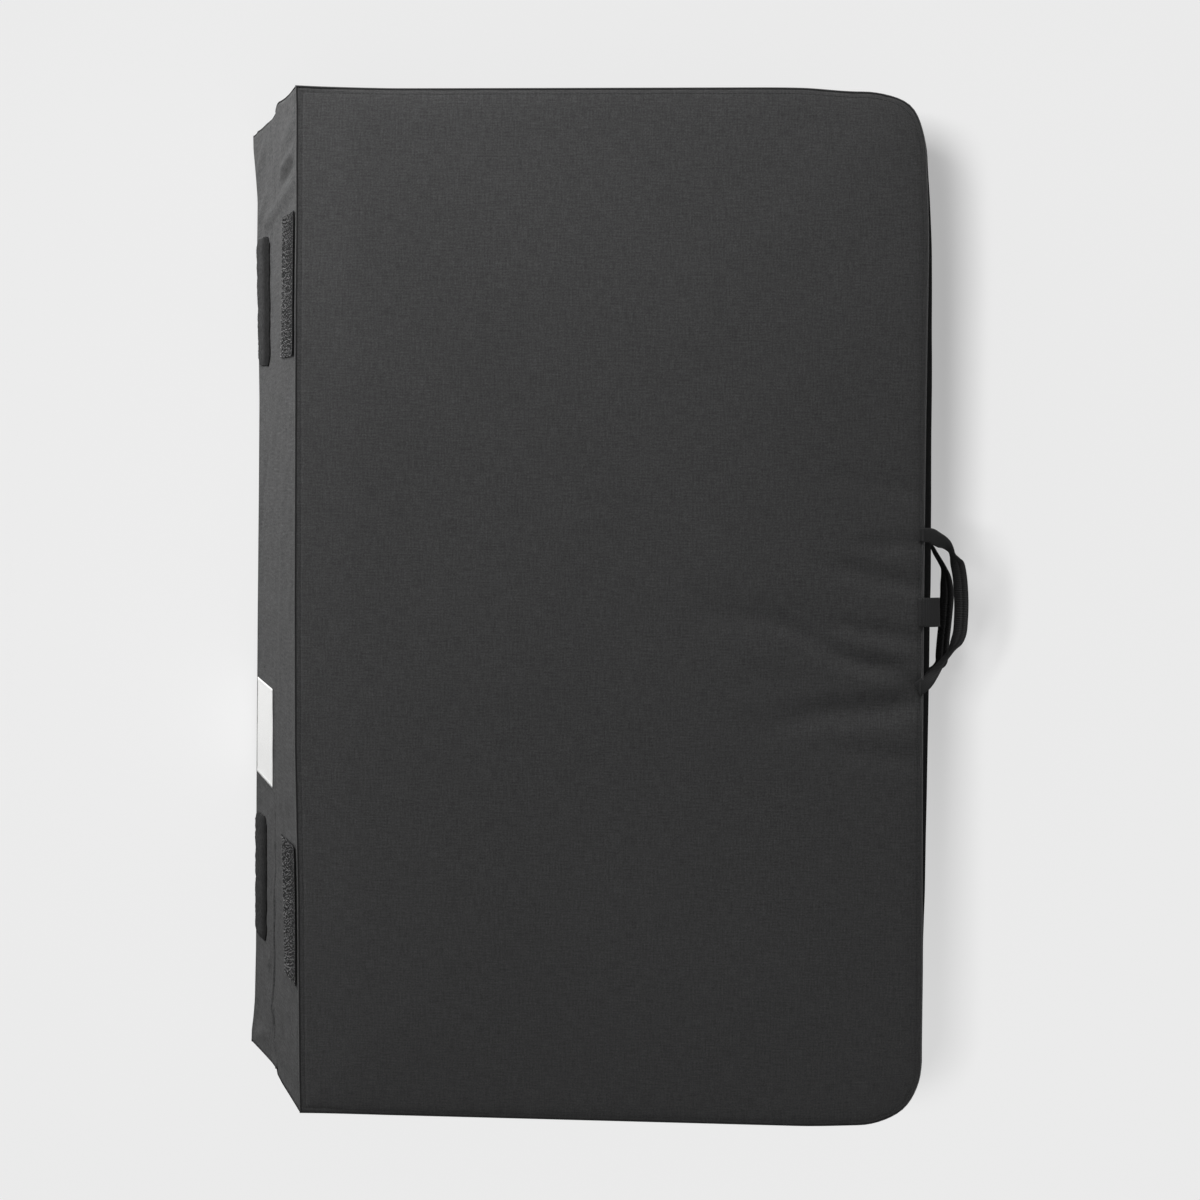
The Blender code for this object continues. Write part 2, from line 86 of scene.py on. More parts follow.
# How the open end lies askew: a curve along y, then what its near (-1) and far (1) corners do
ASKEW = (-0.0015, -0.0101, 0.0168)
CORNER_BACK = {-1: 0.0008, 1: 0.0030}
END_BACK = {-1: 0.0010, 1: 0.0024}
SIDE_DRAW = {-1: -0.0005, 1: 0.0014}
CORNER_DRAW = {-1: 0.0032, 1: 0.0036}
SHOULDER_DRAW = {-1: 0.0, 1: 0.0018}
CORNER_FULL = {-1: 0.0014, 1: 0.0050}
CORNER_SPREAD = {-1: 0.018, 1: 0.022}
DIAGONAL = 0.707

# Where these begin, along the half and across it, and how long each takes
CORNER_FROM = (0.49, 0.36)
CORNER_REACH = (0.09, 0.08)
END_FROM = 0.31
SIDE_REACH = 0.08
SHOULDER_AT = 0.530
SHOULDER_SPREAD = 0.035
FULL_AT = (0.585, 0.441)

# How far in from the spine its bows are felt, and the tuck at its far end
BOW_REACH = 0.25
END_REACH = 0.022
PINCH_REACH = 0.035
PINCH_BACK = 0.0026
PINCH_ACROSS = 0.0016

# How far the outer edges of the spine lie from a straight line: (y, along x)
SPINE_EDGES = {
    UPPER: [(-0.457, 0.0002), (-0.426, -0.0006), (-0.353, -0.0012), (-0.262, -0.0018), (-0.127, -0.0046),
            (0.007, -0.0049), (0.140, -0.0045), (0.271, -0.0042), (0.336, -0.0034), (0.401, -0.0030),
            (0.457, -0.0013)],
    LOWER: [(-0.457, -0.0032), (-0.444, -0.0027), (-0.431, -0.0010), (-0.413, 0.0004), (-0.361, 0.0016),
            (-0.310, 0.0020), (-0.259, 0.0022), (-0.207, 0.0023), (-0.131, 0.0029), (-0.005, 0.0039),
            (0.096, 0.0050), (0.196, 0.0058), (0.295, 0.0046), (0.344, 0.0036), (0.394, 0.0046),
            (0.443, 0.0018), (0.457, 0.0024)],
}

# How far the wall of the open end stands out at its middle: (y, outward)
END_BULGES = [
    (-0.400, 0.0055), (-0.340, 0.0053), (-0.295, 0.0058), (-0.250, 0.0075), (-0.162, 0.0095), (-0.074, 0.0109),
    (0.020, 0.0118), (0.100, 0.0116), (0.187, 0.0105), (0.230, 0.0103), (0.273, 0.0095), (0.316, 0.0083),
    (0.400, 0.0062),
]

# How far the spine's two ends stand out of square: (height up the spine, outward)
SPINE_ENDS = {
    1: [(-0.1116, -0.0010), (-0.0933, -0.0014), (-0.0880, 0.0002), (-0.0820, -0.0010), (-0.0667, -0.0015),
        (-0.0408, -0.0014), (-0.0156, -0.0022), (-0.0009, 0.0), (0.0030, 0.0044), (0.0088, 0.0068),
        (0.0200, 0.0066), (0.0326, 0.0046), (0.0558, 0.0020), (0.0783, 0.0003), (0.1116, 0.0)],
    -1: [(-0.1116, 0.0), (-0.0935, -0.0013), (-0.0555, -0.0039), (-0.0190, -0.0060), (0.0030, -0.0060),
         (0.0075, -0.0020), (0.0307, -0.0003), (0.0686, 0.0), (0.0950, 0.0004), (0.1116, 0.0008)],
}

HALVES = {UPPER: ("upper", "upper_half"), LOWER: ("lower", "lower_half")}
BEHIND_SPINE = HINGE + OUT * 0.2


# Plain sums

def ease(share):
    """A smooth rise from 0 to 1."""
    share = min(max(share, 0.0), 1.0)
    return share * share * (3.0 - 2.0 * share)


def mix(first, second, share):
    """A value between two others."""
    return first + (second - first) * share


def hump(distance, width):
    """A rounded bump of height 1."""
    return math.exp(-(distance / width) ** 2)


def read_line(points, at):
    """The value of a broken line at a place."""
    if at <= points[0][0]:
        return points[0][1]
    for (left, low), (right, high) in zip(points, points[1:]):
        if at <= right:
            return mix(low, high, (at - left) / (right - left))
    return points[-1][1]


def ripple(x, y, size, seed):
    """Soft random unevenness from -1 to 1."""
    return noise.noise(Vector((x / size, y / size, seed)))


def smooth_route(points, steps):
    """Points on a smooth curve through a few."""
    ends = [points[0]] + list(points) + [points[-1]]
    route = []
    for before, start, end, after in zip(ends, ends[1:], ends[2:], ends[3:]):
        for step in range(steps):
            t = step / steps
            leaving = (end - before) / 2
            arriving = (after - start) / 2
            route.append(
                start * (2 * t ** 3 - 3 * t ** 2 + 1)
                + leaving * (t ** 3 - 2 * t ** 2 + t)
                + end * (3 * t ** 2 - 2 * t ** 3)
                + arriving * (t ** 3 - t ** 2)
            )
    route.append(points[-1])
    return route


# Making pieces

def finish_piece(name, bm, look, body, smooth=True):
    """Turn a bmesh into a piece with its finish, riding on a body."""
    mesh = bpy.data.meshes.new(name)
    bm.to_mesh(mesh)
    bm.free()
    if smooth:
        mesh.shade_smooth()
    piece = bpy.data.objects.new(name, mesh)
    mesh.materials.append(look)
    bpy.context.scene.collection.objects.link(piece)
    if body:
        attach(piece, body)
    return piece


def along_cloth(length, share):
    """Metres along a cloth: evenly, or by the stations it was cut at."""
    if isinstance(length, list):
        return length[round(share * (len(length) - 1))]
    return length * share


def mapped_grid(columns, rows, place, size):
    """A flat grid carried to its place in space, with a UV map in metres."""
    bm = bmesh.new()
    layer = bm.loops.layers.uv.new("UVMap")
    bmesh.ops.create_grid(bm, x_segments=columns, y_segments=rows, size=0.5)
    for face in bm.faces:
        for loop in face.loops:
            flat = loop.vert.co
            loop[layer].uv = (along_cloth(size[0], flat.x + 0.5), along_cloth(size[1], flat.y + 0.5))
    for vert in bm.verts:
        vert.co = place(vert.co.x + 0.5, vert.co.y + 0.5)
    return bm


def face_away(bm, centre):
    """Turn an open sheet's faces away from a point."""
    leaning = sum(face.calc_area() * face.normal.dot(face.calc_center_median() - centre) for face in bm.faces)
    if leaning < 0.0:
        bmesh.ops.reverse_faces(bm, faces=bm.faces)


def cloth_piece(name, bm, inside, look, body, thickness=CLOTH):
    """A sheet that faces away from a point inside the pad, with its thickness on the inner side."""
    bm.normal_update()
    face_away(bm, inside)
    piece = finish_piece(name, bm, look, body)
    shell = piece.modifiers.new("cloth", "SOLIDIFY")
    shell.thickness = thickness
    shell.offset = -1.0
    return piece


def sweep_mesh(frames, sections, closed):
    """Carry closed sections along frames of (place, across, up)."""
    rows = len(frames) if closed else len(frames) - 1
    count = len(sections(0))
    shapes = [sections(row) for row in range(len(frames))]

    def place(a, b):
        row = round(b * rows) % len(frames)
        where, across, up = frames[row]
        out, rise = shapes[row][round(a * count) % count]
        return where + across * out + up * rise

    round_it = sum((Vector(p) - Vector(q)).length for p, q in zip(shapes[0], shapes[0][1:] + shapes[0][:1]))
    length = sum((a[0] - b[0]).length for a, b in zip(frames, frames[1:]))
    bm = mapped_grid(count, rows, place, (round_it, length))
    bmesh.ops.remove_doubles(bm, verts=bm.verts, dist=1e-6)
    if not closed:
        bmesh.ops.holes_fill(bm, edges=[edge for edge in bm.edges if edge.is_boundary], sides=0)
    bmesh.ops.recalc_face_normals(bm, faces=bm.faces)
    return bm


def sweep(name, frames, section, look, body, closed=False):
    """A piece swept along frames, its section the same all along or a function of the row."""
    sections = section if callable(section) else (lambda row: section)
    return finish_piece(name, sweep_mesh(frames, sections, closed), look, body)


def flat_section(width, thickness, rounding=0.4):
    """A strap's cross-section: flat with rounded edges, 12 points."""
    half = width / 2
    high = thickness / 2
    cut = min(half, high) * 2 * rounding
    points = [(-half, -high + cut), (-half, high - cut), (-half + cut, high)]
    points += [(-half / 3, high), (half / 3, high), (half - cut, high), (half, high - cut)]
    points += [(-across, -up) for across, up in points[:]][1:-1]
    return points


def oval_section(wide, high, count):
    """A cord-like cross-section."""
    turns = [math.tau * index / count for index in range(count)]
    return [(wide * math.cos(turn), high * math.sin(turn)) for turn in turns]


def walk(points, pitch, closed=False):
    """Places and directions along a line, a pitch apart."""
    line = list(points) + ([points[0]] if closed else [])
    left = pitch / 2
    for start, end in zip(line, line[1:]):
        span = end - start
        length = span.length
        if length < 1e-9:
            continue
        while left <= length:
            yield start + span * (left / length), span / length
            left += pitch
        left -= length


def repeat_shape(name, shape, matrices, look, body, smooth=True):
    """A piece made of many copies of one small shape."""
    pattern = bpy.data.meshes.new("pattern")
    shape.to_mesh(pattern)
    shape.free()
    corners = [vert.co.copy() for vert in pattern.vertices]
    sides = [tuple(face.vertices) for face in pattern.polygons]
    bpy.data.meshes.remove(pattern)
    points = []
    faces = []
    for matrix in matrices:
        start = len(points)
        points.extend(matrix @ corner for corner in corners)
        faces.extend(tuple(start + index for index in side) for side in sides)
    mesh = bpy.data.meshes.new("copies")
    mesh.from_pydata(points, [], faces)
    bm = bmesh.new()
    bm.from_mesh(mesh)
    bpy.data.meshes.remove(mesh)
    return finish_piece(name, bm, look, body, smooth)


def rounded_block(bm, place, size, rounding, segments=2):
    """Add a box with rounded edges to a mesh."""
    box = bmesh.new()
    bmesh.ops.create_cube(box, size=1.0)
    bmesh.ops.scale(box, verts=box.verts, vec=size)
    bmesh.ops.bevel(box, geom=box.edges[:], offset=rounding, offset_type="OFFSET", affect="EDGES",
                    segments=segments, profile=0.5, material=-1)
    bmesh.ops.translate(box, verts=box.verts, vec=place)
    add_mesh(bm, box)


def add_mesh(bm, other):
    """Move another mesh's faces into this one."""
    spare = bpy.data.meshes.new("spare")
    other.to_mesh(spare)
    other.free()
    bm.from_mesh(spare)
    bpy.data.meshes.remove(spare)


def stitch(place, along, up, length, radius):
    """Where one stitch lies: a short thread on the cloth."""
    across = along.cross(up).normalized()
    lift = across.cross(along)
    turn = Matrix((across, lift, along)).transposed().to_4x4()
    stretch = Matrix.Diagonal((radius, 0.75 * radius, length / 2, 1.0))
    return Matrix.Translation(place) @ turn @ stretch


def sewn(name, places, look, body):
    """Stitches at many places."""
    thread = bmesh.new()
    bmesh.ops.create_uvsphere(thread, u_segments=6, v_segments=4, radius=1.0)
    return repeat_shape(name, thread, places, look, body)


def stitching(name, lines, look, body, pitch=0.0036, length=0.0027, radius=0.00030, closed=False):
    """Rows of stitches along lines of (points, up)."""
    places = []
    for points, up in lines:
        places += [stitch(place, along, up, length, radius) for place, along in walk(points, pitch, closed)]
    return sewn(name, places, look, body)


# The pad's shape

def spine_edge(side, depth):
    """Distance from the hinge axis to a half's spine face at a depth."""
    return MITRE_SETBACK + side * MITRE_SLOPE * depth


def settle(side, u, y, depth):
    """Where a point of the square-cut half lies in space, with the pad's small bows and its askew open end."""
    hand = 1 if y > 0.0 else -1
    edge = spine_edge(side, depth)
    outer = depth / THICKNESS
    back = max(0.0, 1.0 - (u - edge) / BOW_REACH)
    forth = ease((u - edge) / HALF_LENGTH)
    shift = forth * (ASKEW[0] + ASKEW[1] * y + ASKEW[2] * y * y)
    shift += back * back * outer * read_line(SPINE_EDGES[side], y)
    turning = ease((abs(y) - CORNER_FROM[1]) / CORNER_REACH[1])
    corner = ease((u - CORNER_FROM[0]) / CORNER_REACH[0]) * turning
    ending = ease((abs(y) - END_FROM) / CORNER_REACH[1])
    shift -= corner * CORNER_BACK[hand] + forth * END_BACK[hand] * ending
    draw = SIDE_DRAW[hand] * y / HALF_WIDTH * min(1.0, max(0.0, (u - edge) / SIDE_REACH))
    draw += corner * CORNER_DRAW[hand] * hand
    draw += turning * SHOULDER_DRAW[hand] * hump(u - SHOULDER_AT, SHOULDER_SPREAD)
    full = CORNER_FULL[hand] * hump(math.hypot(u - FULL_AT[0], abs(y) - FULL_AT[1]), CORNER_SPREAD[hand])
    shift += DIAGONAL * full
    draw -= DIAGONAL * full * hand
    flare = math.exp(-max(0.0, HALF_WIDTH - abs(y)) / END_REACH) * math.exp(-max(0.0, u - edge) / 0.03)
    lobe = hand * flare * read_line(SPINE_ENDS[hand], side * depth * MITRE_STRETCH)
    pinch = outer * math.exp(-(abs(u - edge) + abs(HALF_WIDTH - y)) / PINCH_REACH)
    across = y - draw + PINCH_ACROSS * pinch + lobe
    return HINGE + Vector((u + shift - PINCH_BACK * pinch, across, side * depth))


def round_corners(u, y):
    """Bend the square corners of the open end into quarter circles."""
    a = (u - SIDE_RUN) / CORNER
    b = (abs(y) - (HALF_WIDTH - CORNER)) / CORNER
    if a > 0.0 and b > 0.0:
        a, b = a * math.sqrt(1.0 - b * b / 2), b * math.sqrt(1.0 - a * a / 2)
        u = SIDE_RUN + CORNER * a
        y = math.copysign(HALF_WIDTH - CORNER + CORNER * b, y)
    return u, y


def inset_of(edge, u, y):
    """Distance in from the nearest seam of a face."""
    inset = min(u - edge, HALF_LENGTH - u, HALF_WIDTH - abs(y))
    a = u - SIDE_RUN
    b = abs(y) - (HALF_WIDTH - CORNER)
    if a > 0.0 and b > 0.0:
        inset = min(inset, CORNER - math.hypot(a, b))
    return max(0.0, inset)


def rim(side, depth, run):
    """Point and outward direction on the three free sides, run metres from the -Y end of the spine."""
    edge = spine_edge(side, depth)
    hand = -1.0
    if run > RIM_RUN / 2:
        run = RIM_RUN - run
        hand = 1.0
    if run < SIDE_RUN:
        return edge + (SIDE_RUN - edge) * run / SIDE_RUN, hand * HALF_WIDTH, 0.0, hand
    run -= SIDE_RUN
    centre = HALF_WIDTH - CORNER
    if run < ARC_RUN:
        turn = run / CORNER
        out, over = math.sin(turn), math.cos(turn)
        return SIDE_RUN + CORNER * out, hand * (centre + CORNER * over), out, hand * over
    return HALF_LENGTH, hand * (centre - (run - ARC_RUN)), 1.0, 0.0


def wall_bulge(run, depth):
    """How far the stuffed wall stands out."""
    hand = -1 if run < RIM_RUN / 2 else 1
    run = min(run, RIM_RUN - run)
    y = max(0.0, RIM_RUN / 2 - max(run, SIDE_RUN + ARC_RUN))
    front = read_line(END_BULGES, hand * y)
    reach = mix(SIDE_BULGE[hand] * ease(run / 0.12), front, ease((run - 0.52) / 0.11))
    share = (depth - LANDING_DEPTH) / (THICKNESS - LANDING_DEPTH)
    return reach * 4.0 * share * (1.0 - share)


def on_wall(side, depth, run, lift=0.0):
    """A point on the stuffed wall."""
    u, y, out, over = rim(side, depth, run)
    reach = wall_bulge(run, depth) + lift
    return settle(side, u + out * reach, y + over * reach, depth)


def wall_out(run):
    """The wall's outward direction."""
    _, _, out, over = rim(UPPER, THICKNESS, run)
    return Vector((out, over, 0.0))


def on_spine(w, y, lift=0.0):
    """A point on the spine face, w metres up its slope from the hinge."""
    side = UPPER if w >= 0.0 else LOWER
    depth = abs(w) / MITRE_STRETCH
    return settle(side, spine_edge(side, depth), y, depth) + SPINE_NORMAL * lift


# Tension folds in the upper face beside the handle: bottom line (x, y), spread above and below, depth
FOLDS = [
    ([(0.2580, 0.0619), (0.2990, 0.0622)], 0.0064, 0.0060, 0.0020),
    ([(0.2213, 0.0455), (0.2275, 0.0430), (0.2526, 0.0355), (0.2714, 0.0297), (0.2960, 0.0250)],
     0.0088, 0.0085, 0.0032),
    ([(0.2284, -0.0105), (0.2534, -0.0136), (0.2722, -0.0165), (0.2960, -0.0230)], 0.0078, 0.0074, 0.0032),
    ([(0.1218, 0.0000), (0.1689, -0.0045), (0.2036, -0.0215), (0.2225, -0.0335), (0.2477, -0.0425),
      (0.2727, -0.0470), (0.2960, -0.0600)], 0.0088, 0.0100, 0.0042),
    ([(0.2650, -0.0440), (0.2960, -0.0400)], 0.0040, 0.0036, 0.0013),
    ([(0.1576, -0.0965), (0.1796, -0.0935), (0.2046, -0.0880), (0.2296, -0.0850), (0.2733, -0.0810),
      (0.2960, -0.0750)], 0.0120, 0.0120, 0.0054),
    ([(0.2176, -0.1160), (0.2302, -0.1175), (0.2553, -0.1220), (0.2960, -0.1290)], 0.0100, 0.0110, 0.0020),
    ([(0.2150, 0.1200), (0.2378, 0.1183), (0.2960, 0.1082)], 0.0090, 0.0090, 0.0011),
    ([(0.0900, 0.0060), (0.2000, -0.0060)], 0.0180, 0.0160, 0.0010),
    ([(0.1200, -0.0560), (0.2300, -0.0620)], 0.0140, 0.0150, 0.0010),
]


def fold_depth(x, y):
    """How far the tension folds press the upper face down."""
    depth = 0.0
    for line, above, below, deepest in FOLDS:
        first, last = line[0][0], line[-1][0]
        if x < first - 0.03 or x > 0.304:
            continue
        bottom = read_line(line, x)
        gone = y - bottom
        fade = ease((x - first + 0.03) / (last - first)) * (1.0 - 0.5 * ease((x - 0.285) / 0.02))
        if last < 0.28:
            fade *= 1.0 - ease((x - last) / 0.05)
        depth += deepest * fade * hump(gone, above if gone > 0.0 else below)
    return depth


def crown_height(inset, roll):
    """How far the stuffed face rises at a distance in from its seam, rolling over the seam fully or in part."""
    share = min(inset / CROWN_REACH, 1.0)
    return CROWN * (1.0 - (1.0 - share) ** 2) + roll * EDGE_ROLL * (1.0 - math.exp(-inset / EDGE_ROLL_REACH))


def upper_relief(u, y, inset):
    """The upper face's height over its seam."""
    x = HINGE.x + u
    slack = ease(inset / 0.05)
    free = ease((u - spine_edge(UPPER, THICKNESS) - 0.006) / 0.05)
    height = crown_height(inset, mix(0.35, 1.0, free)) - fold_depth(x, y)
    height += slack * (0.0004 * ripple(x, y, 0.13, 1.0) + 0.00018 * ripple(x, y, 0.045, 2.0))
    pucker = math.exp(-inset / 0.010) * min(1.0, inset / 0.002)
    height += 0.00030 * pucker * ripple(x, y, 0.009, 3.0)
    return height - mix(0.0005, 0.0001, free) * hump(inset - STITCH_INSET, 0.0010)


def lower_relief(u, y, inset):
    """The underside lies nearly flat and dips a little between its seams."""
    return -ease(inset / 0.02) * (0.0003 + 0.0003 * ripple(u, y, 0.12, 5.0))


def landing_relief(u, y, inset):
    """The landing faces touch when the pad is shut, so they only dip: relief is measured from the middle out."""
    return ease(inset / 0.02) * (0.0002 + 0.0002 * ripple(u, y, 0.12, 15.0))


# Where the strips and the patch lie on the spine, and half their width and length
STRIP_HALF = (0.035, 0.0635)
PATCH_HALF = (0.044, 0.048)
STRIP_AT = sum(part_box("hook_strip_far"), Vector()) / 2 - HINGE
PATCH_AT = sum(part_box("blank_patch"), Vector()) / 2 - HINGE
STRIP_W = STRIP_AT.z * MITRE_STRETCH
STRIP_Y = STRIP_AT.y
PATCH_W = PATCH_AT.z * MITRE_STRETCH
PATCH_Y = PATCH_AT.y
SPINE_REACH = 0.1116
FLAT_SPOTS = [(w, y, *STRIP_HALF) for w in (STRIP_W, -STRIP_W) for y in (STRIP_Y, -STRIP_Y)]
FLAT_SPOTS.append((PATCH_W, PATCH_Y, *PATCH_HALF))

# The crease along the hinge: (y, height up the spine), and how strong it is: (y, strength)
CREASE = [
    (-0.457, 0.004), (-0.450, 0.004), (-0.428, -0.008), (-0.392, -0.015), (-0.330, -0.0115),
    (-0.289, -0.0075), (-0.200, -0.0040), (0.0, -0.0020), (0.200, -0.0015), (0.284, -0.0010),
    (0.340, -0.0060), (0.380, -0.0135), (0.420, -0.0200), (0.457, -0.0240),
]

CREASE_STRENGTH = [
    (-0.457, 1.6), (-0.440, 1.6), (-0.415, 2.4), (-0.390, 2.2), (-0.360, 1.8), (-0.300, 1.6), (-0.230, 0.60),
    (-0.150, 0.05), (0.250, 0.05), (0.360, 0.35), (0.400, 0.45), (0.440, 0.35), (0.457, 0.2),
]

# Soft folds in the spine cloth: from (y, w) to (y, w), spread and height
SPINE_FOLDS = [
    ((0.380, 0.1411), (0.371, 0.0306), 0.0062, 0.0039),
    ((0.371, 0.0306), (0.362, -0.0612), 0.0066, 0.0035),
    ((0.396, 0.0850), (0.384, -0.0068), 0.0048, -0.0036),
    ((0.404, 0.0952), (0.398, 0.0238), 0.0055, 0.0027),
    ((0.432, 0.1190), (0.420, 0.0340), 0.0090, 0.0026),
    ((0.440, -0.0510), (0.405, -0.1326), 0.0075, 0.0027),
    ((0.388, -0.0578), (0.362, -0.1394), 0.0070, 0.0023),
    ((0.352, 0.1258), (0.335, 0.0340), 0.0060, 0.0020),
    ((-0.352, -0.0323), (-0.362, -0.0408), 0.0034, 0.0031),
    ((-0.398, -0.0102), (-0.386, -0.0442), 0.0040, 0.0022),
    ((-0.430, -0.0340), (-0.448, -0.1020), 0.0070, 0.0020),
    ((-0.365, 0.0204), (-0.430, 0.1020), 0.0110, 0.0017),
    ((0.060, 0.0306), (-0.120, 0.0204), 0.0100, 0.0012),
    ((0.150, -0.0510), (0.050, -0.1190), 0.0120, -0.0014),
]


def spine_relief(w, y):
    """How far the spine cloth stands out from its slanted plane."""
    shelter = 1.0
    for mid_w, mid_y, half_w, half_y in FLAT_SPOTS:
        gap = max(abs(w - mid_w) - half_w, abs(y - mid_y) - half_y)
        shelter = min(shelter, ease(gap / 0.010))
    loose = ease(min(HALF_WIDTH - abs(y), SPINE_REACH - abs(w)) / 0.014)
    lift = 0.0014 * ripple(y, w, 0.085, 7.0) + 0.0011 * ripple(y, w, 0.024, 8.0) - 0.0007
    for (y1, w1), (y2, w2), spread, height in SPINE_FOLDS:
        along = Vector((y2 - y1, w2 - w1))
        reach = Vector((y - y1, w - w1))
        share = reach.dot(along) / along.length_squared
        gap = (reach - along * min(max(share, 0.0), 1.0)).length
        lift += height * hump(gap, spread) * ease(1.3 - 1.3 * abs(share - 0.5))
    lift *= shelter * loose
    crease = read_line(CREASE, y) + 0.0010 * ripple(y, 0.0, 0.018, 9.0)
    gap = w - crease
    strong = read_line(CREASE_STRENGTH, y)
    lift -= strong * 0.0012 * hump(gap, 0.0011)
    lift += strong * 0.0006 * hump(gap + 0.0036, 0.0022) * shelter
    lift -= 0.0016 * math.exp(-max(0.0, SPINE_REACH - w) / 0.0025)
    deepest = mix(-0.0012, -0.0036, ease((abs(w) - 0.004) / 0.012))
    return max(deepest, min(lift, 0.0018))


# Finishes

def join(tree, out, into):
    """Link two sockets, or set the second to a plain value."""
    if isinstance(out, bpy.types.NodeSocket):
        tree.links.new(out, into)
    else:
        into.default_value = out


def add_node(tree, kind, feeds=(), **settings):
    """Put a node in a tree, with its settings and what feeds its sockets."""
    made = tree.nodes.new(kind)
    for key, value in settings.items():
        setattr(made, key, value)
    for socket, value in dict(feeds).items():
        join(tree, value, made.inputs[socket])
    return made


def sum_node(tree, operation, *values):
    """A math node's result."""
    return add_node(tree, "ShaderNodeMath", dict(enumerate(values)), operation=operation).outputs[0]


def grain_node(tree, vector, scale, detail, roughness=0.5):
    """A noise node's result."""
    feeds = {"Vector": vector, "Scale": scale, "Detail": detail, "Roughness": roughness}
    return add_node(tree, "ShaderNodeTexNoise", feeds).outputs[0]


def new_group(name, values, results):
    """A node group that takes a vector and plain values, and puts out masks."""
    group = bpy.data.node_groups.new(name, "ShaderNodeTree")
    group.interface.new_socket(name="Vector", in_out="INPUT", socket_type="NodeSocketVector")
    for title, value in values.items():
        socket = group.interface.new_socket(name=title, in_out="INPUT", socket_type="NodeSocketFloat")
        socket.default_value = value
    for title in results:
        group.interface.new_socket(name=title, in_out="OUTPUT", socket_type="NodeSocketFloat")
    return group, add_node(group, "NodeGroupInput").outputs, add_node(group, "NodeGroupOutput").inputs


def weave_group():
    """Plain weave: the height of its threads and their uneven tone."""
    group, given, result = new_group("plain_weave", {"Threads": 1000.0}, ("Height", "Tone", "Flecks"))
    scaled = add_node(group, "ShaderNodeVectorMath", {0: given["Vector"], "Scale": given["Threads"]},
                      operation="SCALE").outputs[0]
    split = add_node(group, "ShaderNodeSeparateXYZ", {0: scaled}).outputs
    humps = []
    for axis in ("X", "Y"):
        turned = sum_node(group, "MULTIPLY", split[axis], math.pi)
        humps.append(sum_node(group, "ABSOLUTE", sum_node(group, "SINE", turned)))
    steps = sum_node(group, "ADD", *(sum_node(group, "FLOOR", split[axis]) for axis in ("X", "Y")))
    over = sum_node(group, "PINGPONG", steps, 1.0)
    warp, weft = (
        sum_node(group, "MULTIPLY", thread, sum_node(group, "MULTIPLY_ADD", other, 0.5, 0.5))
        for thread, other in (humps, humps[::-1])
    )
    crossing = add_node(group, "ShaderNodeMix", {0: over, 2: warp, 3: weft}, data_type="FLOAT")
    join(group, crossing.outputs[0], result["Height"])
    tones = []
    for stretch in ((1.1, 0.10, 1.0), (0.10, 1.1, 1.0)):
        streak = add_node(group, "ShaderNodeMapping", {"Vector": scaled, "Scale": stretch})
        tones.append(grain_node(group, streak.outputs[0], 0.6, 2.0))
    join(group, sum_node(group, "MULTIPLY", sum_node(group, "ADD", *tones), 0.5), result["Tone"])
    join(group, grain_node(group, scaled, 0.55, 4.0, 0.65), result["Flecks"])
    return group


def wear_group():
    """Broad unevenness: faded patches, and pale scuffs that come and go."""
    group, given, result = new_group("wear", {"Size": 4.0}, ("Fading", "Scuffs"))
    join(group, grain_node(group, given["Vector"], given["Size"], 3.0), result["Fading"])
    fine = grain_node(group, given["Vector"], sum_node(group, "MULTIPLY", given["Size"], 60.0), 5.0, 0.7)
    peaks = add_node(group, "ShaderNodeMapRange", {"Value": fine, "From Min": 0.66, "From Max": 0.80})
    join(group, peaks.outputs[0], result["Scuffs"])
    return group


def ribs_group():
    """Ribs across a strip: webbing, zip tape and hook tape."""
    group, given, result = new_group("ribs", {"Ribs": 700.0}, ("Height", "Tone"))
    split = add_node(group, "ShaderNodeSeparateXYZ", {0: given["Vector"]}).outputs
    turned = sum_node(group, "MULTIPLY", sum_node(group, "MULTIPLY", split["Y"], given["Ribs"]), math.pi)
    join(group, sum_node(group, "ABSOLUTE", sum_node(group, "SINE", turned)), result["Height"])
    join(group, grain_node(group, given["Vector"], 900.0, 3.0), result["Tone"])
    return group


WEAVE = weave_group()
WEAR = wear_group()
RIBS = ribs_group()


def start_material(name):
    """A material, its tree, and the coordinates that it reads."""
    material = bpy.data.materials.new(name)
    material.use_nodes = True
    return material, material.node_tree, add_node(material.node_tree, "ShaderNodeTexCoord").outputs


def place_group(tree, group, vector, **values):
    """A group's masks, from a vector and its values."""
    return add_node(tree, "ShaderNodeGroup", {"Vector": vector, **values}, node_tree=group).outputs


def shade(tree, colour, factors):
    """A colour made lighter and darker by masks: (mask, effect at 0, effect at 1)."""
    level = None
    for mask, low, high in factors:
        span = sum_node(tree, "MULTIPLY_ADD", mask, high - low, low)
        level = span if level is None else sum_node(tree, "MULTIPLY", level, span)
    return add_node(tree, "ShaderNodeVectorMath", {0: colour, "Scale": level}, operation="SCALE").outputs[0]


def past_line(tree, coords, band):
    """A factor that changes past a line: band is the coordinates' kind, axis, start, width and effect."""
    kind, axis, start, width, effect = band
    split = add_node(tree, "ShaderNodeSeparateXYZ", {0: coords[kind]}).outputs
    feeds = {"Value": split[axis], "From Min": start, "From Max": start + width}
    rise = add_node(tree, "ShaderNodeMapRange", feeds, interpolation_type="SMOOTHSTEP")
    return rise.outputs[0], 1.0, effect


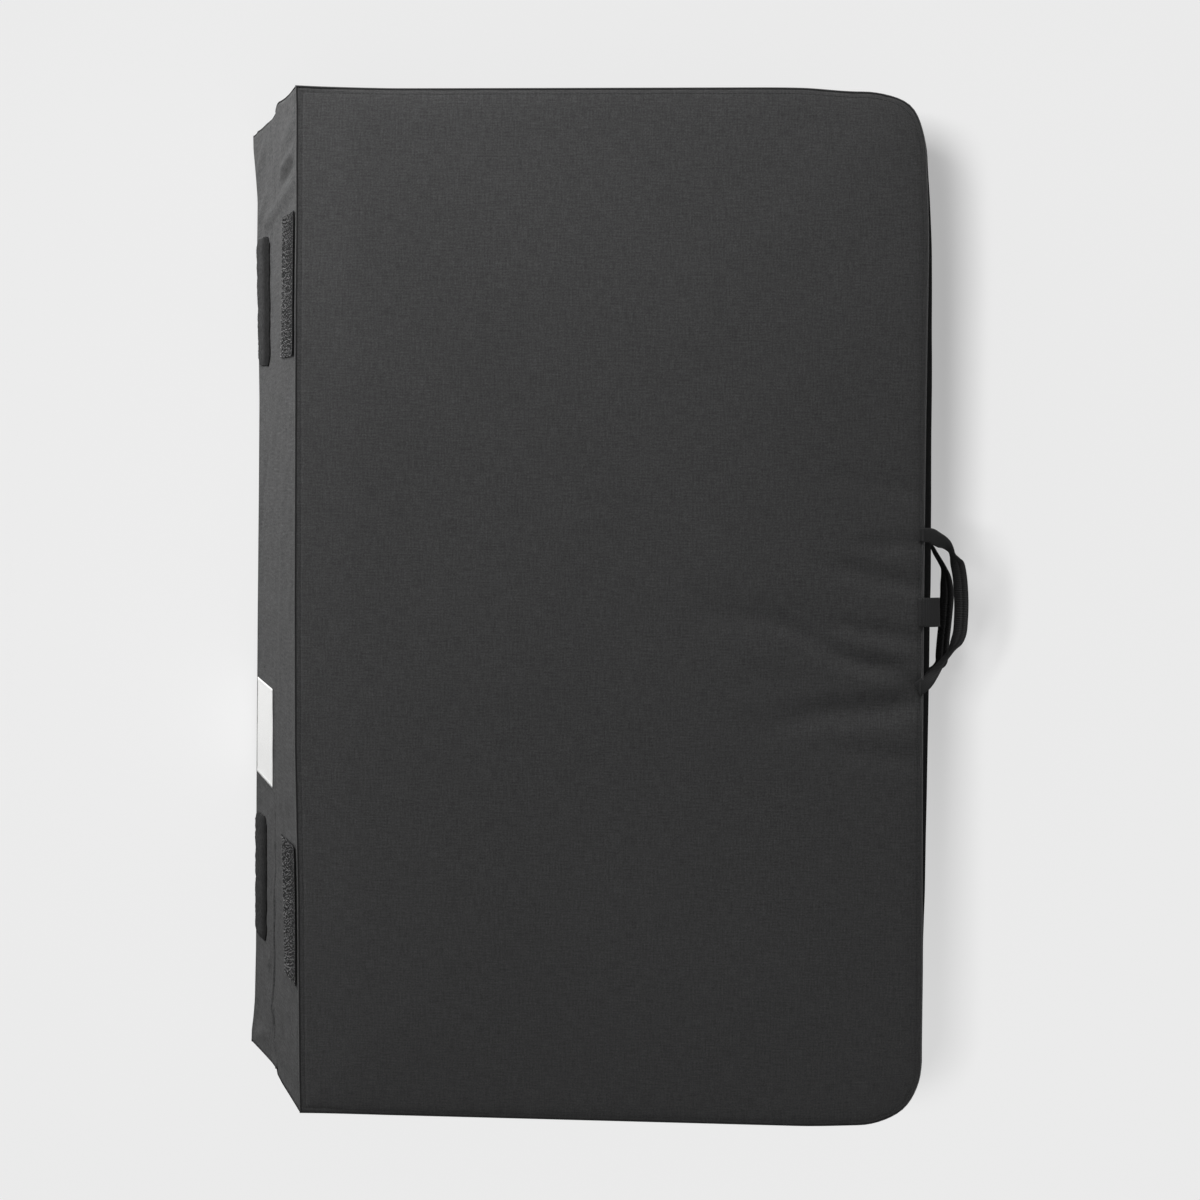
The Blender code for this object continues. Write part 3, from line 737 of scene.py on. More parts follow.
def feed_shader(tree, colour, roughness, relief, plain):
    """Colour, roughness (mask, span, middle), relief (height, strength, depth) and plain values for the shader."""
    shader = tree.nodes["Principled BSDF"]
    join(tree, colour, shader.inputs["Base Color"])
    mask, span, middle = roughness
    join(tree, sum_node(tree, "MULTIPLY_ADD", mask, span, middle - span / 2), shader.inputs["Roughness"])
    height, strength, depth = relief
    bump = add_node(tree, "ShaderNodeBump", {"Strength": strength, "Distance": depth, "Height": height})
    join(tree, bump.outputs[0], shader.inputs["Normal"])
    for title, value in plain.items():
        shader.inputs[title].default_value = value


def cloth(name, colour, threads, depth, sheen=0.20, roughness=0.80, scuff=0.6, contrast=0.55, gloss=0.15,
          bands=()):
    """Woven cloth with uneven threads, soft fading and a few pale scuffs."""
    material, tree, coords = start_material(name)
    weave = place_group(tree, WEAVE, coords["UV"], Threads=threads)
    wear = place_group(tree, WEAR, coords["Object"], Size=4.0)
    factors = [
        (weave["Tone"], 1.0 - contrast, 1.0 + contrast),
        (weave["Flecks"], 1.0 - 1.1 * contrast, 1.0 + 1.1 * contrast),
        # Darker where the threads dip at their crossings: painted shade between the threads.
        (weave["Height"], 0.82, 1.10),
        (wear["Fading"], 0.90, 1.10),
        (wear["Scuffs"], 1.0, 1.0 + scuff),
    ]
    factors += [past_line(tree, coords, band) for band in bands]
    feed_shader(tree, shade(tree, colour, factors), (weave["Tone"], 0.16, roughness),
                (weave["Height"], 0.8, depth),
                {"Sheen Weight": sheen, "Sheen Roughness": 0.45, "Specular IOR Level": gloss})
    return material


def ribbed(name, colour, ribs, depth, sheen=0.05, roughness=0.62, gloss=0.22):
    """Webbing or tape with ribs across it."""
    material, tree, coords = start_material(name)
    rib = place_group(tree, RIBS, coords["UV"], Ribs=ribs)
    wear = place_group(tree, WEAR, coords["Object"], Size=9.0)
    factors = [
        # Darker in the hollows between the ribs: painted shade.
        (rib["Height"], 0.62, 1.15),
        (rib["Tone"], 0.80, 1.20),
        (wear["Fading"], 0.88, 1.12),
        (wear["Scuffs"], 1.0, 1.6),
    ]
    feed_shader(tree, shade(tree, colour, factors), (rib["Tone"], 0.2, roughness), (rib["Height"], 0.8, depth),
                {"Sheen Weight": sheen, "Specular IOR Level": gloss})
    return material


def grainy(name, colour, size, depth, roughness=0.5, metallic=0.0, contrast=0.15, sheen=0.0, cells=False,
           gloss=0.3, bands=()):
    """Moulded plastic, cast metal, pile, thread or foam: a grain in colour, gloss and surface."""
    material, tree, coords = start_material(name)
    if cells:
        feeds = {"Vector": coords["Object"], "Scale": 1.0 / size, "Randomness": 1.0}
        grain = add_node(tree, "ShaderNodeTexVoronoi", feeds).outputs["Distance"]
    else:
        grain = grain_node(tree, coords["Object"], 1.0 / size, 4.0)
    wear = place_group(tree, WEAR, coords["Object"], Size=12.0)
    factors = [
        (grain, 1.0 - contrast, 1.0 + contrast),
        (wear["Fading"], 0.9, 1.1),
        (wear["Scuffs"], 1.0, 1.5),
    ]
    factors += [past_line(tree, coords, band) for band in bands]
    feed_shader(tree, shade(tree, colour, factors), (wear["Fading"], 0.2, roughness), (grain, 0.7, depth),
                {"Metallic": metallic, "Sheen Weight": sheen, "Specular IOR Level": gloss})
    return material


GREY_CLOTH = cloth("grey_pack_cloth", (0.0510, 0.0510, 0.0515), 1150.0, 0.00026, contrast=0.80)
# The spine cloth is the grey pack cloth in a lighter colour, 0.066 against 0.051: painted light for the stronger
# light that falls on the slanted spine faces.
SPINE_CLOTH = cloth("spine_cloth", (0.0660, 0.0660, 0.0665), 720.0, 0.00040, sheen=0.04, contrast=1.0, gloss=0.06,
                    # The band darkens the last 2 mm of the spine cloth by the upper outer seam to 0.18 of its
                    # colour: painted shade where the cloth turns under the seam.
                    bands=[("UV", "Y", 0.2202, 0.0010, 0.18)])
WALL_CLOTH = cloth("wall_cloth", (0.0050, 0.0050, 0.0052), 1150.0, 0.00022, sheen=0.0, roughness=0.95, gloss=0.03)
LANDING_CLOTH = cloth("landing_cloth", (0.020, 0.020, 0.0205), 900.0, 0.00028, sheen=0.10)
STRAP_CLOTH = cloth("strap_cloth", (0.018, 0.018, 0.0185), 1000.0, 0.00025, sheen=0.12)
PATCH_CLOTH = cloth("patch_cloth", (0.90, 0.90, 0.89), 2200.0, 0.00008, sheen=0.0, scuff=-0.2, contrast=0.04)
# The seam cloth is made 2.4 times lighter from x -0.262 on and 2.9 times lighter again from x 0.28 on: painted
# highlight where the turned edge catches the light. Past 2.2 mm round its section, on the inner side of the roll,
# it is darkened to 0.35: painted shade.
SEAM_CLOTH = cloth("seam_cloth", (0.018, 0.018, 0.0182), 1150.0, 0.00022,
                   bands=[("Object", "X", -0.262, 0.006, 2.4), ("Object", "X", 0.28, 0.02, 2.9),
                          ("UV", "X", 0.0022, 0.0010, 0.35)])
BINDING = ribbed("binding_tape", (0.014, 0.014, 0.0143), 900.0, 0.00018)
WEBBING = ribbed("webbing", (0.0085, 0.0085, 0.0088), 720.0, 0.00035)
ZIP_TAPE = ribbed("zip_tape", (0.008, 0.008, 0.0083), 1300.0, 0.00012)
# The hooks are far lighter than the tape they stand on, 0.12 against 0.0085: painted highlight, the glint of light
# on hooks of the same nylon.
HOOK_BASE = ribbed("hook_tape", (0.0085, 0.0085, 0.0087), 600.0, 0.00020, sheen=0.0, gloss=0.05)
HOOKS = grainy("hook_nylon", (0.120, 0.120, 0.121), 0.0024, 0.0001, roughness=0.42, contrast=0.9)
# The band darkens each loop strip towards its upper edge, from 24 mm across on, to 0.35 at 60 mm: painted shade
# along that edge.
LOOP_PILE = grainy("loop_pile", (0.0350, 0.0350, 0.0354), 0.0030, 0.0012, roughness=1.0, contrast=1.0, gloss=0.05,
                   bands=[("UV", "Y", 0.024, 0.036, 0.35)])
GREY_THREAD = grainy("grey_thread", (0.028, 0.028, 0.0283), 0.0008, 0.0001, roughness=0.8)
THREAD = grainy("thread", (0.026, 0.026, 0.0265), 0.0008, 0.0001, roughness=0.7)
WHITE_THREAD = grainy("white_thread", (0.78, 0.78, 0.77), 0.0008, 0.0001, roughness=0.6)
SLIDER_METAL = grainy("slider_metal", (0.16, 0.16, 0.165), 0.004, 0.00005, roughness=0.38, metallic=1.0, gloss=0.5)
COIL_NYLON = grainy("zip_coil", (0.009, 0.009, 0.0093), 0.002, 0.00005, roughness=0.4, gloss=0.4)
BUCKLE_PLASTIC = grainy("buckle_plastic", (0.0100, 0.0100, 0.0104), 0.0009, 0.00006, roughness=0.42, gloss=0.5)
FIRM_FOAM = grainy("firm_foam", (0.050, 0.050, 0.053), 0.0016, 0.0005, roughness=0.85, cells=True, contrast=0.3)
SOFT_FOAM = grainy("soft_foam", (0.62, 0.57, 0.40), 0.0030, 0.0016, roughness=0.9, cells=True, contrast=0.3)


# Covers

# The grid's step on the face that the photo shows and on the others
UPPER_STEP = 0.0052
HIDDEN_STEP = 0.0090
LANDING_START = 0.0050

# Stations beside each seam, close together where the cloth rolls over it
EDGE_INSETS = (0.0, 0.0010, 0.0022, 0.0034, 0.0042, 0.0050, 0.0058, 0.0068, 0.0082, 0.0110, 0.0148, 0.0195)


def stations(length, step):
    """Places along a cloth, close together at both of its seams."""
    middle = length - 2 * EDGE_INSETS[-1]
    count = max(1, round(middle / step))
    inner = [EDGE_INSETS[-1] + middle * index / count for index in range(1, count)]
    return list(EDGE_INSETS) + inner + [length - inset for inset in reversed(EDGE_INSETS)]


def half_middle(side):
    """A point in the middle of a half."""
    return HINGE + Vector((HALF_LENGTH / 2, 0.0, side * THICKNESS / 2))


def face_cloth(name, side, depth, start, relief, step, look):
    """An outer or landing panel."""
    us = stations(HALF_LENGTH - start, step)
    ys = stations(2 * HALF_WIDTH, step)

    def place(a, b):
        u = start + us[round(a * (len(us) - 1))]
        y = ys[round(b * (len(ys) - 1))] - HALF_WIDTH
        u, y = round_corners(u, y)
        return settle(side, u, y, depth) + UP * (side * relief(u, y, inset_of(start, u, y)))

    bm = mapped_grid(len(us) - 1, len(ys) - 1, place, (us, ys))
    piece = cloth_piece(name, bm, half_middle(side), look, HALVES[side][1])
    return piece


def wall_cloth(side):
    """The wall round three sides."""
    name, body = HALVES[side]
    columns = 400
    depths = stations(THICKNESS - LANDING_DEPTH, 0.0062)

    def place(a, b):
        run = a * RIM_RUN
        depth = LANDING_DEPTH + depths[round(b * (len(depths) - 1))]
        share = (depth - LANDING_DEPTH) / (THICKNESS - LANDING_DEPTH)
        loose = 4.0 * share * (1.0 - share) * ease(min(run, RIM_RUN - run) / 0.06)
        crinkle = 0.0007 * loose * ripple(run, depth, 0.07, 11.0 + side)
        edge = min(share, 1.0 - share) * THICKNESS
        crinkle += 0.0004 * math.exp(-edge / 0.009) * min(1.0, edge / 0.002) * ripple(run, depth, 0.010, 13.0)
        return on_wall(side, depth, run, crinkle)

    bm = mapped_grid(columns, len(depths) - 1, place, (RIM_RUN, depths))
    piece = cloth_piece(name + "_wall_cloth", bm, half_middle(side), WALL_CLOTH, body)
    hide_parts(name + "_boxing")
    return piece


def spine_cloth():
    """The cloth of both slanted faces, one piece that bends at the hinge."""
    reach = THICKNESS * MITRE_STRETCH
    fine = [-0.029 + 0.0010 * index for index in range(35)]
    below = [-reach, -reach + 0.0015, -reach + 0.004, -reach + 0.008]
    below += [mix(-reach + 0.012, -0.031, index / 20) for index in range(21)]
    above = [mix(0.0075, reach - 0.012, index / 25) for index in range(26)]
    above += [reach - inset for inset in (0.0085, 0.0060, 0.0042, 0.0030, 0.0020, 0.0012, 0.0005, 0.0)]
    ws = below + fine + above
    columns = 228

    def place(a, b):
        y = (2 * a - 1) * HALF_WIDTH
        w = ws[round(b * (len(ws) - 1))]
        return on_spine(w, y, spine_relief(w, y))

    bm = mapped_grid(columns, len(ws) - 1, place, (2 * HALF_WIDTH, [w + reach for w in ws]))
    piece = cloth_piece("spine_cloth", bm, BEHIND_SPINE, SPINE_CLOTH, None)
    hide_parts("upper_spine_panel", "lower_spine_panel")
    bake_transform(piece)
    return piece


def face_loop(side, inset, step=0.006):
    """Points (u, y) and inward directions round a whole outer face, a distance in from its seam."""
    edge = spine_edge(side, THICKNESS)
    count = round(RIM_RUN / step)
    loop = []
    for index in range(count + 1):
        u, y, out, over = rim(side, THICKNESS, RIM_RUN * index / count)
        loop.append((max(u - out * inset, edge + inset), y - over * inset, -out, -over))
    kept = [item for item in loop if item[0] > edge + inset + 0.003]
    wide = HALF_WIDTH - inset
    back = round(2 * wide / step)
    corner = 0.7071
    kept.append((edge + inset, wide, corner, -corner))
    kept += [(edge + inset, wide - 2 * wide * index / back, 1.0, 0.0) for index in range(1, back)]
    kept.append((edge + inset, -wide, corner, corner))
    return kept


def outer_seam(side):
    """The turned edge of an outer face and the row of stitches beside it."""
    name, body = HALVES[side]
    relief = upper_relief if side == UPPER else lower_relief
    edge = spine_edge(side, THICKNESS)

    def lay(u, y, lift):
        height = relief(u, y, inset_of(edge, u, y)) + lift
        return settle(side, u, y, THICKNESS) + UP * (side * height)

    frames = []
    for u, y, inward, over in face_loop(side, 0.0):
        stretch = math.sqrt(2.0) if abs(inward) > 0.1 and abs(over) > 0.1 and u < edge + 0.01 else 1.0
        frames.append((settle(side, u, y, THICKNESS), Vector((inward, over, 0.0)) * stretch, UP * side))
    section = [(-0.0003, -0.0006), (-0.0004, 0.0), (-0.0001, 0.0006), (0.0005, 0.0009), (0.0011, 0.0009),
               (0.0016, 0.0006), (0.0018, -0.0003)]
    sweep(name + "_outer_seam", frames, section, SEAM_CLOTH, body, closed=True)
    row = [lay(u, y, 0.0002) for u, y, _, _ in face_loop(side, STITCH_INSET)]
    stitching(name + "_outer_stitches", [(row, UP * side)], GREY_THREAD, body, closed=True)


def landing_seam(side):
    """The turned edge and stitches on the wall, beside the landing face."""
    name, body = HALVES[side]
    count = 340
    frames = []
    row = []
    for index in range(count + 1):
        run = RIM_RUN * (0.002 + 0.996 * index / count)
        depth = LANDING_DEPTH + 0.0004
        frames.append((on_wall(side, depth, run), UP * side, wall_out(run)))
        row.append(on_wall(side, depth + 0.0052, run, 0.0001))
    section = [(0.0, -0.0006), (0.0, 0.0006), (0.0008, 0.0013), (0.0018, 0.0015), (0.0028, 0.0012),
               (0.0033, -0.0002)]
    sweep(name + "_landing_seam", frames, section, WALL_CLOTH, body)
    places = []
    for place, along in walk(row, 0.0036):
        out = Vector((along.y, -along.x, 0.0)).normalized()
        places.append(stitch(place, along, out, 0.0027, 0.0003))
    sewn(name + "_landing_stitches", places, THREAD, body)


def hinge_welt():
    """The sewn seam on the hinge line, a little wavy."""
    count = 260
    frames = []
    for index in range(count + 1):
        y = HALF_WIDTH * (2 * index / count - 1) * 0.998
        sway = Vector((0.0004 * ripple(y, 0.0, 0.05, 21.0), 0.0, 0.0006 * ripple(y, 0.0, 0.035, 22.0)))
        frames.append((HINGE + Vector((0.0056, y, 0.0)) + sway * 0.3, OUT, UP))
    section = oval_section(0.0019, 0.00040, 10)
    piece = sweep("hinge_welt", frames, section, SPINE_CLOTH, "lower_half")
    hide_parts("hinge_binding")


def build_covers():
    """Panels, walls, spine and seams of both halves."""
    edge = {side: spine_edge(side, THICKNESS) for side in HALVES}
    upper = face_cloth("upper_outer_cloth", UPPER, THICKNESS, edge[UPPER], upper_relief, UPPER_STEP,
                       GREY_CLOTH)
    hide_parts("upper_outer_panel")
    lower = face_cloth("lower_outer_cloth", LOWER, THICKNESS, edge[LOWER], lower_relief, HIDDEN_STEP,
                       GREY_CLOTH)
    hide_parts("lower_outer_panel")
    for side, (name, _) in HALVES.items():
        landing = face_cloth(name + "_landing_cloth", side, LANDING_DEPTH, LANDING_START, landing_relief,
                             HIDDEN_STEP, LANDING_CLOTH)
        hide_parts(name + "_landing_panel")
        wall_cloth(side)
        outer_seam(side)
        landing_seam(side)
    spine_cloth()
    hinge_welt()


# Spine strips and patch

HOOK_ROWS = 37
HOOK_COLUMNS = 34

# Hook strips: name, middle along y, slant, the low edge's slip and fan, seed
HOOK_STRIPS = [
    ("hook_strip_far", STRIP_Y + 0.0045, -0.0017, 0.0065, 0.0015, 40.3),
    ("hook_strip_near", -STRIP_Y + 0.0040, 0.0008, 0.0095, -0.0063, 39.7),
]

# Loop strips: name, middle across and half width, middle along y, slant, curl, seed
LOOP_STRIPS = [
    ("loop_strip_far", -STRIP_W - 0.0010, 0.0375, STRIP_Y + 0.0053, -0.0030, 0.0004, 50.3),
    ("loop_strip_near", -STRIP_W - 0.0112, 0.0310, -STRIP_Y + 0.0040, 0.0014, 0.0003, 49.7),
]


def spine_sheet(name, mid_w, mid_y, half_w, half_y, lift, look, body, thickness, step=0.002):
    """A small cloth sewn on the spine: lift(across, along) is its outer face's height, both from -1 to 1."""
    columns = max(4, round(2 * half_y / step))
    rows = max(4, round(2 * half_w / step))

    def place(a, b):
        along, across = 2 * a - 1, 2 * b - 1
        height, slip_y, slip_w = lift(across, along)
        return on_spine(mid_w + half_w * across + slip_w, mid_y + half_y * along + slip_y, height)

    bm = mapped_grid(columns, rows, place, (2 * half_y, 2 * half_w))
    return cloth_piece(name, bm, BEHIND_SPINE, look, body, thickness)


def edge_row(mid_w, mid_y, half_w, half_y, inset, lift):
    """A row of points on a sewn cloth, a distance in from its edge."""
    across, along = 1.0 - inset / half_w, 1.0 - inset / half_y
    corners = [(-across, -along), (across, -along), (across, along), (-across, along), (-across, -along)]
    count = 24
    points = []
    for (w1, y1), (w2, y2) in zip(corners, corners[1:]):
        for index in range(count):
            w, y = mix(w1, w2, index / count), mix(y1, y2, index / count)
            height, slip_y, slip_w = lift(w, y)
            points.append(on_spine(mid_w + half_w * w + slip_w, mid_y + half_y * y + slip_y, height + 0.0001))
    points.append(points[0])
    return points


def hook_strip(name, mid_y, slant, low_slip, fan, seed):
    """Hook tape: a ribbed base with rows of small bent hooks, sewn on a little askew."""
    half_w, half_y = STRIP_HALF

    def lift(across, along):
        curl = 0.0007 * ease((across - 0.80) / 0.20) + 0.0003 * ease((abs(along) - 0.93) / 0.07)
        zigzag = abs((across * half_w / 0.009) % 2.0 - 1.0)
        ribs = 0.00010 * math.sin(math.tau * (along * half_y / 0.0034 + 0.6 * zigzag))
        slip_w = mix(low_slip + fan * along, 0.0012, (across + 1.0) / 2) + 0.0010 * ripple(along, 0.0, 0.35, seed)
        return 0.0010 + curl + ribs, 0.0012 * ripple(across, 0.0, 0.3, seed) + slant * across, slip_w

    piece = spine_sheet(name, STRIP_W, mid_y, half_w, half_y, lift, HOOK_BASE, "upper_half", 0.0006,
                        0.0009)
    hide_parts(name)
    chance = random.Random(seed)
    hook = bmesh.new()
    bmesh.ops.create_cone(hook, cap_ends=True, segments=4, radius1=0.00055, radius2=0.00030, depth=0.0012)
    places = []
    for row in range(HOOK_ROWS):
        for column in range(HOOK_COLUMNS):
            if chance.random() < 0.26:
                continue
            along = mix(-0.970, 0.985, row / (HOOK_ROWS - 1)) * half_y
            across = mix(-0.975, 0.93, column / (HOOK_COLUMNS - 1)) * half_w
            bend = 0.0017 * abs((across / 0.0085) % 2.0 - 1.0) + chance.uniform(-0.0013, 0.0013)
            height, slip_y, slip_w = lift(across / half_w, along / half_y)
            lean = (0.8 if column % 2 else -0.8) + chance.uniform(-0.4, 0.4)
            axis = (SPINE_NORMAL + ALONG * lean + SPINE_UP * chance.uniform(-0.4, 0.4)).normalized()
            base = on_spine(STRIP_W + across + slip_w, mid_y + along + slip_y - bend, height - 0.0001)
            turn = axis.to_track_quat("Z", "Y").to_matrix().to_4x4()
            grown = Matrix.Scale(mix(1.25, 0.65, column / (HOOK_COLUMNS - 1)) * chance.uniform(0.6, 1.15), 4)
            places.append(Matrix.Translation(base + axis * 0.0003) @ turn @ grown)
    repeat_shape(name + "_hooks", hook, places, HOOKS, "upper_half", smooth=False)
    row = edge_row(STRIP_W, mid_y, half_w, half_y, 0.0018, lift)
    stitching(name + "_stitches", [(row, SPINE_NORMAL)], THREAD, "upper_half", 0.0026, 0.0020)


def loop_strip(name, mid_w, half_w, mid_y, slant, curl, seed):
    """Loop tape: a soft pile with wandering edges, sewn on a little askew, its lower edge curling up."""
    half_y = STRIP_HALF[1] - 0.0015

    def lift(across, along):
        edge = min(1.0 - abs(across), (1.0 - abs(along)) * half_y / half_w) * half_w
        pile = 0.0010 + 0.0006 * ease(edge / 0.005) + curl * ease((-0.3 - across) / 0.7)
        pile += 0.0004 * ripple(along, 0.0, 0.15, seed + 4)
        pile += 0.00035 * ripple(across * half_w, along * half_y, 0.0022, seed)
        pile += 0.00020 * ripple(across * half_w, along * half_y, 0.010, seed + 1)
        cut = 0.0070 * ease((abs(across) - 0.62) / 0.38) ** 2 * ease((abs(along) - 0.6) / 0.4)
        slip_y = slant * across - math.copysign(cut, along) + 0.0012 * ripple(across, along, 0.3, seed + 3)
        return pile, slip_y, 0.0030 * ripple(along, across * 0.3, 0.22, seed + 2)

    piece = spine_sheet(name, mid_w, mid_y, half_w, half_y, lift, LOOP_PILE, "lower_half",
                        0.0012, 0.0011)
    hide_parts(name)


def blank_patch():
    """The white patch sewn to the lower spine face, left bare."""
    half_w, half_y = PATCH_HALF

    def lift(across, along):
        wave = 0.00025 * ripple(across, along, 0.5, 31.0) + 0.0002 * ease((abs(along) - 0.9) / 0.1)
        return 0.0007 + wave, -0.0018 * across, 0.0012 * (1.0 + across)

    piece = spine_sheet("blank_patch", PATCH_W, PATCH_Y, half_w, half_y, lift, PATCH_CLOTH, "lower_half",
                        0.0004)
    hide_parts("blank_patch")
    row = edge_row(PATCH_W, PATCH_Y, half_w, half_y, 0.0025, lift)
    stitching("patch_stitches", [(row, SPINE_NORMAL)], WHITE_THREAD, "lower_half", 0.0030, 0.0023,
              0.00022)


# Handles and tab

WEBBING_HALF = 0.0009
TAB_Y = 0.0025
TAB_HALF = 0.0128


def route_frames(route, rolls):
    """Frames along a strap's centre line: across it level, then rolled about the line."""
    frames = []
    for index, place in enumerate(route):
        before = route[max(index - 1, 0)]
        after = route[min(index + 1, len(route) - 1)]
        along = (after - before).normalized()
        across = along.cross(UP).normalized()
        up = across.cross(along)
        roll = Matrix.Rotation(rolls[index], 3, along)
        frames.append((place, roll @ across, roll @ up))
    return frames


def grip_section(width, folded):
    """Webbing lying flat, or folded double along its length with the gap between its edges on top."""
    half = width / 2
    flat = [(-1.0, -0.3), (-1.0, 0.3), (-0.8, 0.95), (-0.5, 1.0), (-0.33, 1.0), (-0.22, 1.0), (-0.11, 1.0),
            (0.1, 1.0), (0.5, 1.0), (0.8, 0.95), (1.0, 0.3), (1.0, -0.3), (0.8, -0.95), (0.0, -1.0), (-0.8, -0.95)]
    fold = [(-1.0, -0.7), (-1.03, 0.5), (-0.8, 1.15), (-0.5, 1.25), (-0.33, 1.05), (-0.24, 0.0), (-0.14, 1.10),
            (0.1, 1.3), (0.5, 1.25), (0.85, 1.0), (1.05, 0.3), (1.0, -0.8), (0.8, -1.3), (0.0, -1.4), (-0.8, -1.3)]
    return [(mix(a, c, folded) * half, mix(b, d * 1.35, folded) * WEBBING_HALF)
            for (a, b), (c, d) in zip(flat, fold)]


def grab_handle(name, stops, look, body):
    """A grab loop along stops of (x, y, z, roll in degrees, width, folded)."""
    points = [Vector((*stop[:3],)) for stop in stops]
    extras = [Vector((stop[3], stop[4], stop[5])) for stop in stops]
    steps = 7
    route = smooth_route(points, steps)
    along = smooth_route(extras, steps)
    frames = route_frames(route, [math.radians(extra.x) for extra in along])
    shapes = [grip_section(extra.y, min(max(extra.z, 0.0), 1.0)) for extra in along]
    return sweep(name, frames, lambda row: shapes[row], look, body)


# Along each handle: x, y, z, roll in degrees, width, and how far it is folded double
UPPER_STOPS = [
    (0.2955, 0.0702, 0.2114, 2, 0.0125, 0.0),
    (0.3010, 0.0701, 0.2112, 2, 0.0125, 0.0),
    (0.3058, 0.0697, 0.2102, 4, 0.0125, 0.0),
    (0.3103, 0.0671, 0.2086, 8, 0.0125, 0.0),
    (0.3163, 0.0636, 0.2060, 20, 0.0122, 0.0),
    (0.3212, 0.0597, 0.2024, 50, 0.0114, 0.0),
    (0.3258, 0.0543, 0.1985, 78, 0.0108, 0.0),
    (0.3290, 0.0500, 0.1952, 60, 0.0112, 0.3),
    (0.3318, 0.0445, 0.1920, 36, 0.0128, 0.9),
    (0.3344, 0.0338, 0.1892, 36, 0.0132, 1.0),
    (0.3359, 0.0214, 0.1876, 38, 0.0136, 1.0),
    (0.3368, 0.0080, 0.1866, 40, 0.0136, 1.0),
    (0.3366, -0.0062, 0.1868, 40, 0.0134, 1.0),
    (0.3356, -0.0169, 0.1878, 40, 0.0130, 1.0),
    (0.3325, -0.0250, 0.1898, 48, 0.0122, 0.8),
    (0.3281, -0.0315, 0.1928, 74, 0.0108, 0.2),
    (0.3220, -0.0385, 0.1970, 74, 0.0108, 0.0),
    (0.3158, -0.0455, 0.2012, 66, 0.0112, 0.0),
    (0.3092, -0.0530, 0.2062, 40, 0.0118, 0.0),
    (0.3022, -0.0606, 0.2104, 4, 0.0126, 0.0),
    (0.2960, -0.0652, 0.2114, 0, 0.0126, 0.0),
]
LOWER_STOPS = [
    (0.2990, 0.0655, 0.1058, 0, 0.0115, 0.0),
    (0.3060, 0.0648, 0.1052, 30, 0.0110, 0.0),
    (0.3130, 0.0622, 0.1040, 70, 0.0105, 0.0),
    (0.3205, 0.0590, 0.1022, 82, 0.0105, 0.0),
    (0.3256, 0.0509, 0.1006, 76, 0.0105, 0.0),
    (0.3298, 0.0443, 0.0996, 74, 0.0105, 0.0),
    (0.3334, 0.0379, 0.0988, 70, 0.0108, 0.1),
    (0.3354, 0.0313, 0.0980, 54, 0.0116, 0.5),
    (0.3364, 0.0229, 0.0976, 42, 0.0128, 1.0),
    (0.3371, 0.0125, 0.0972, 36, 0.0134, 1.0),
    (0.3367, 0.0020, 0.0970, 36, 0.0136, 1.0),
    (0.3357, -0.0150, 0.0970, 38, 0.0130, 1.0),
    (0.3344, -0.0297, 0.0973, 38, 0.0128, 1.0),
    (0.3336, -0.0430, 0.0978, 34, 0.0126, 1.0),
    (0.3326, -0.0508, 0.0984, 40, 0.0118, 0.7),
    (0.3276, -0.0558, 0.0996, 62, 0.0110, 0.3),
    (0.3205, -0.0602, 0.1018, 50, 0.0110, 0.0),
    (0.3120, -0.0650, 0.1042, 12, 0.0114, 0.0),
    (0.2990, -0.0672, 0.1056, 0, 0.0116, 0.0),
]


def bar_tack(name, spots, look, body):
    """Dense sewn bars: each spot is (place, along, across, length, width)."""
    places = []
    for place, along, across, length, width in spots:
        up = along.cross(across).normalized()
        if up.z < -0.5:
            up = -up
        count = max(2, round(length / 0.0008))
        for index in range(count):
            where = place + along * (length * (index / (count - 1) - 0.5))
            places.append(stitch(where, across, up, width, 0.00035))
    return sewn(name, places, look, body)


def end_tab():
    """A short webbing tab folded over at its free end."""
    middle = [
        (0.2956, 0.2119, 0.0016), (0.2990, 0.2123, 0.0016), (0.3026, 0.2121, 0.0018), (0.3058, 0.2112, 0.0024),
        (0.3084, 0.2100, 0.0031), (0.3108, 0.2086, 0.0033), (0.3126, 0.2073, 0.0032), (0.3140, 0.2062, 0.0030),
        (0.3149, 0.2054, 0.0022), (0.3152, 0.2051, 0.0010),
    ]
    above = [(x, z + thick / 2) for x, z, thick in middle]
    below = [(x, z - thick / 2) for x, z, thick in middle]
    outline = above + [(0.3154, 0.2050)] + below[::-1]
    rows = 14
    frames = []
    for index in range(rows + 1):
        share = 2 * index / rows - 1
        frames.append((Vector((-0.0004 * share, TAB_Y + TAB_HALF * share, 0.0)), OUT, UP))
    bend = [0.00022 * math.cos(math.pi * (2 * index / rows - 1)) for index in range(rows + 1)]

    def section(row):
        return [(x, z + bend[row]) for x, z in outline]

    piece = sweep("end_tab", frames, section, WEBBING, None)
    turn_webbing_uv(piece)
    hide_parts("end_tab")
    bend_at_seam(piece)
    rows = []
    for x, z in ((0.2974, 0.2132), (0.3002, 0.2134)):
        rows.append(([Vector((x, TAB_Y + TAB_HALF * 0.86 * end, z)) for end in (-1.0, 1.0)], UP))
    stitching("tab_stitches", rows, THREAD, "upper_half", 0.0022, 0.0018, 0.00028)


def bend_at_seam(piece):
    """Bake a strap's placement into its mesh."""
    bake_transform(piece)


def turn_webbing_uv(piece):
    """Swap a UV map's directions where a strap is swept across its width."""
    for item in piece.data.uv_layers["UVMap"].data:
        item.uv = (item.uv[1], item.uv[0])


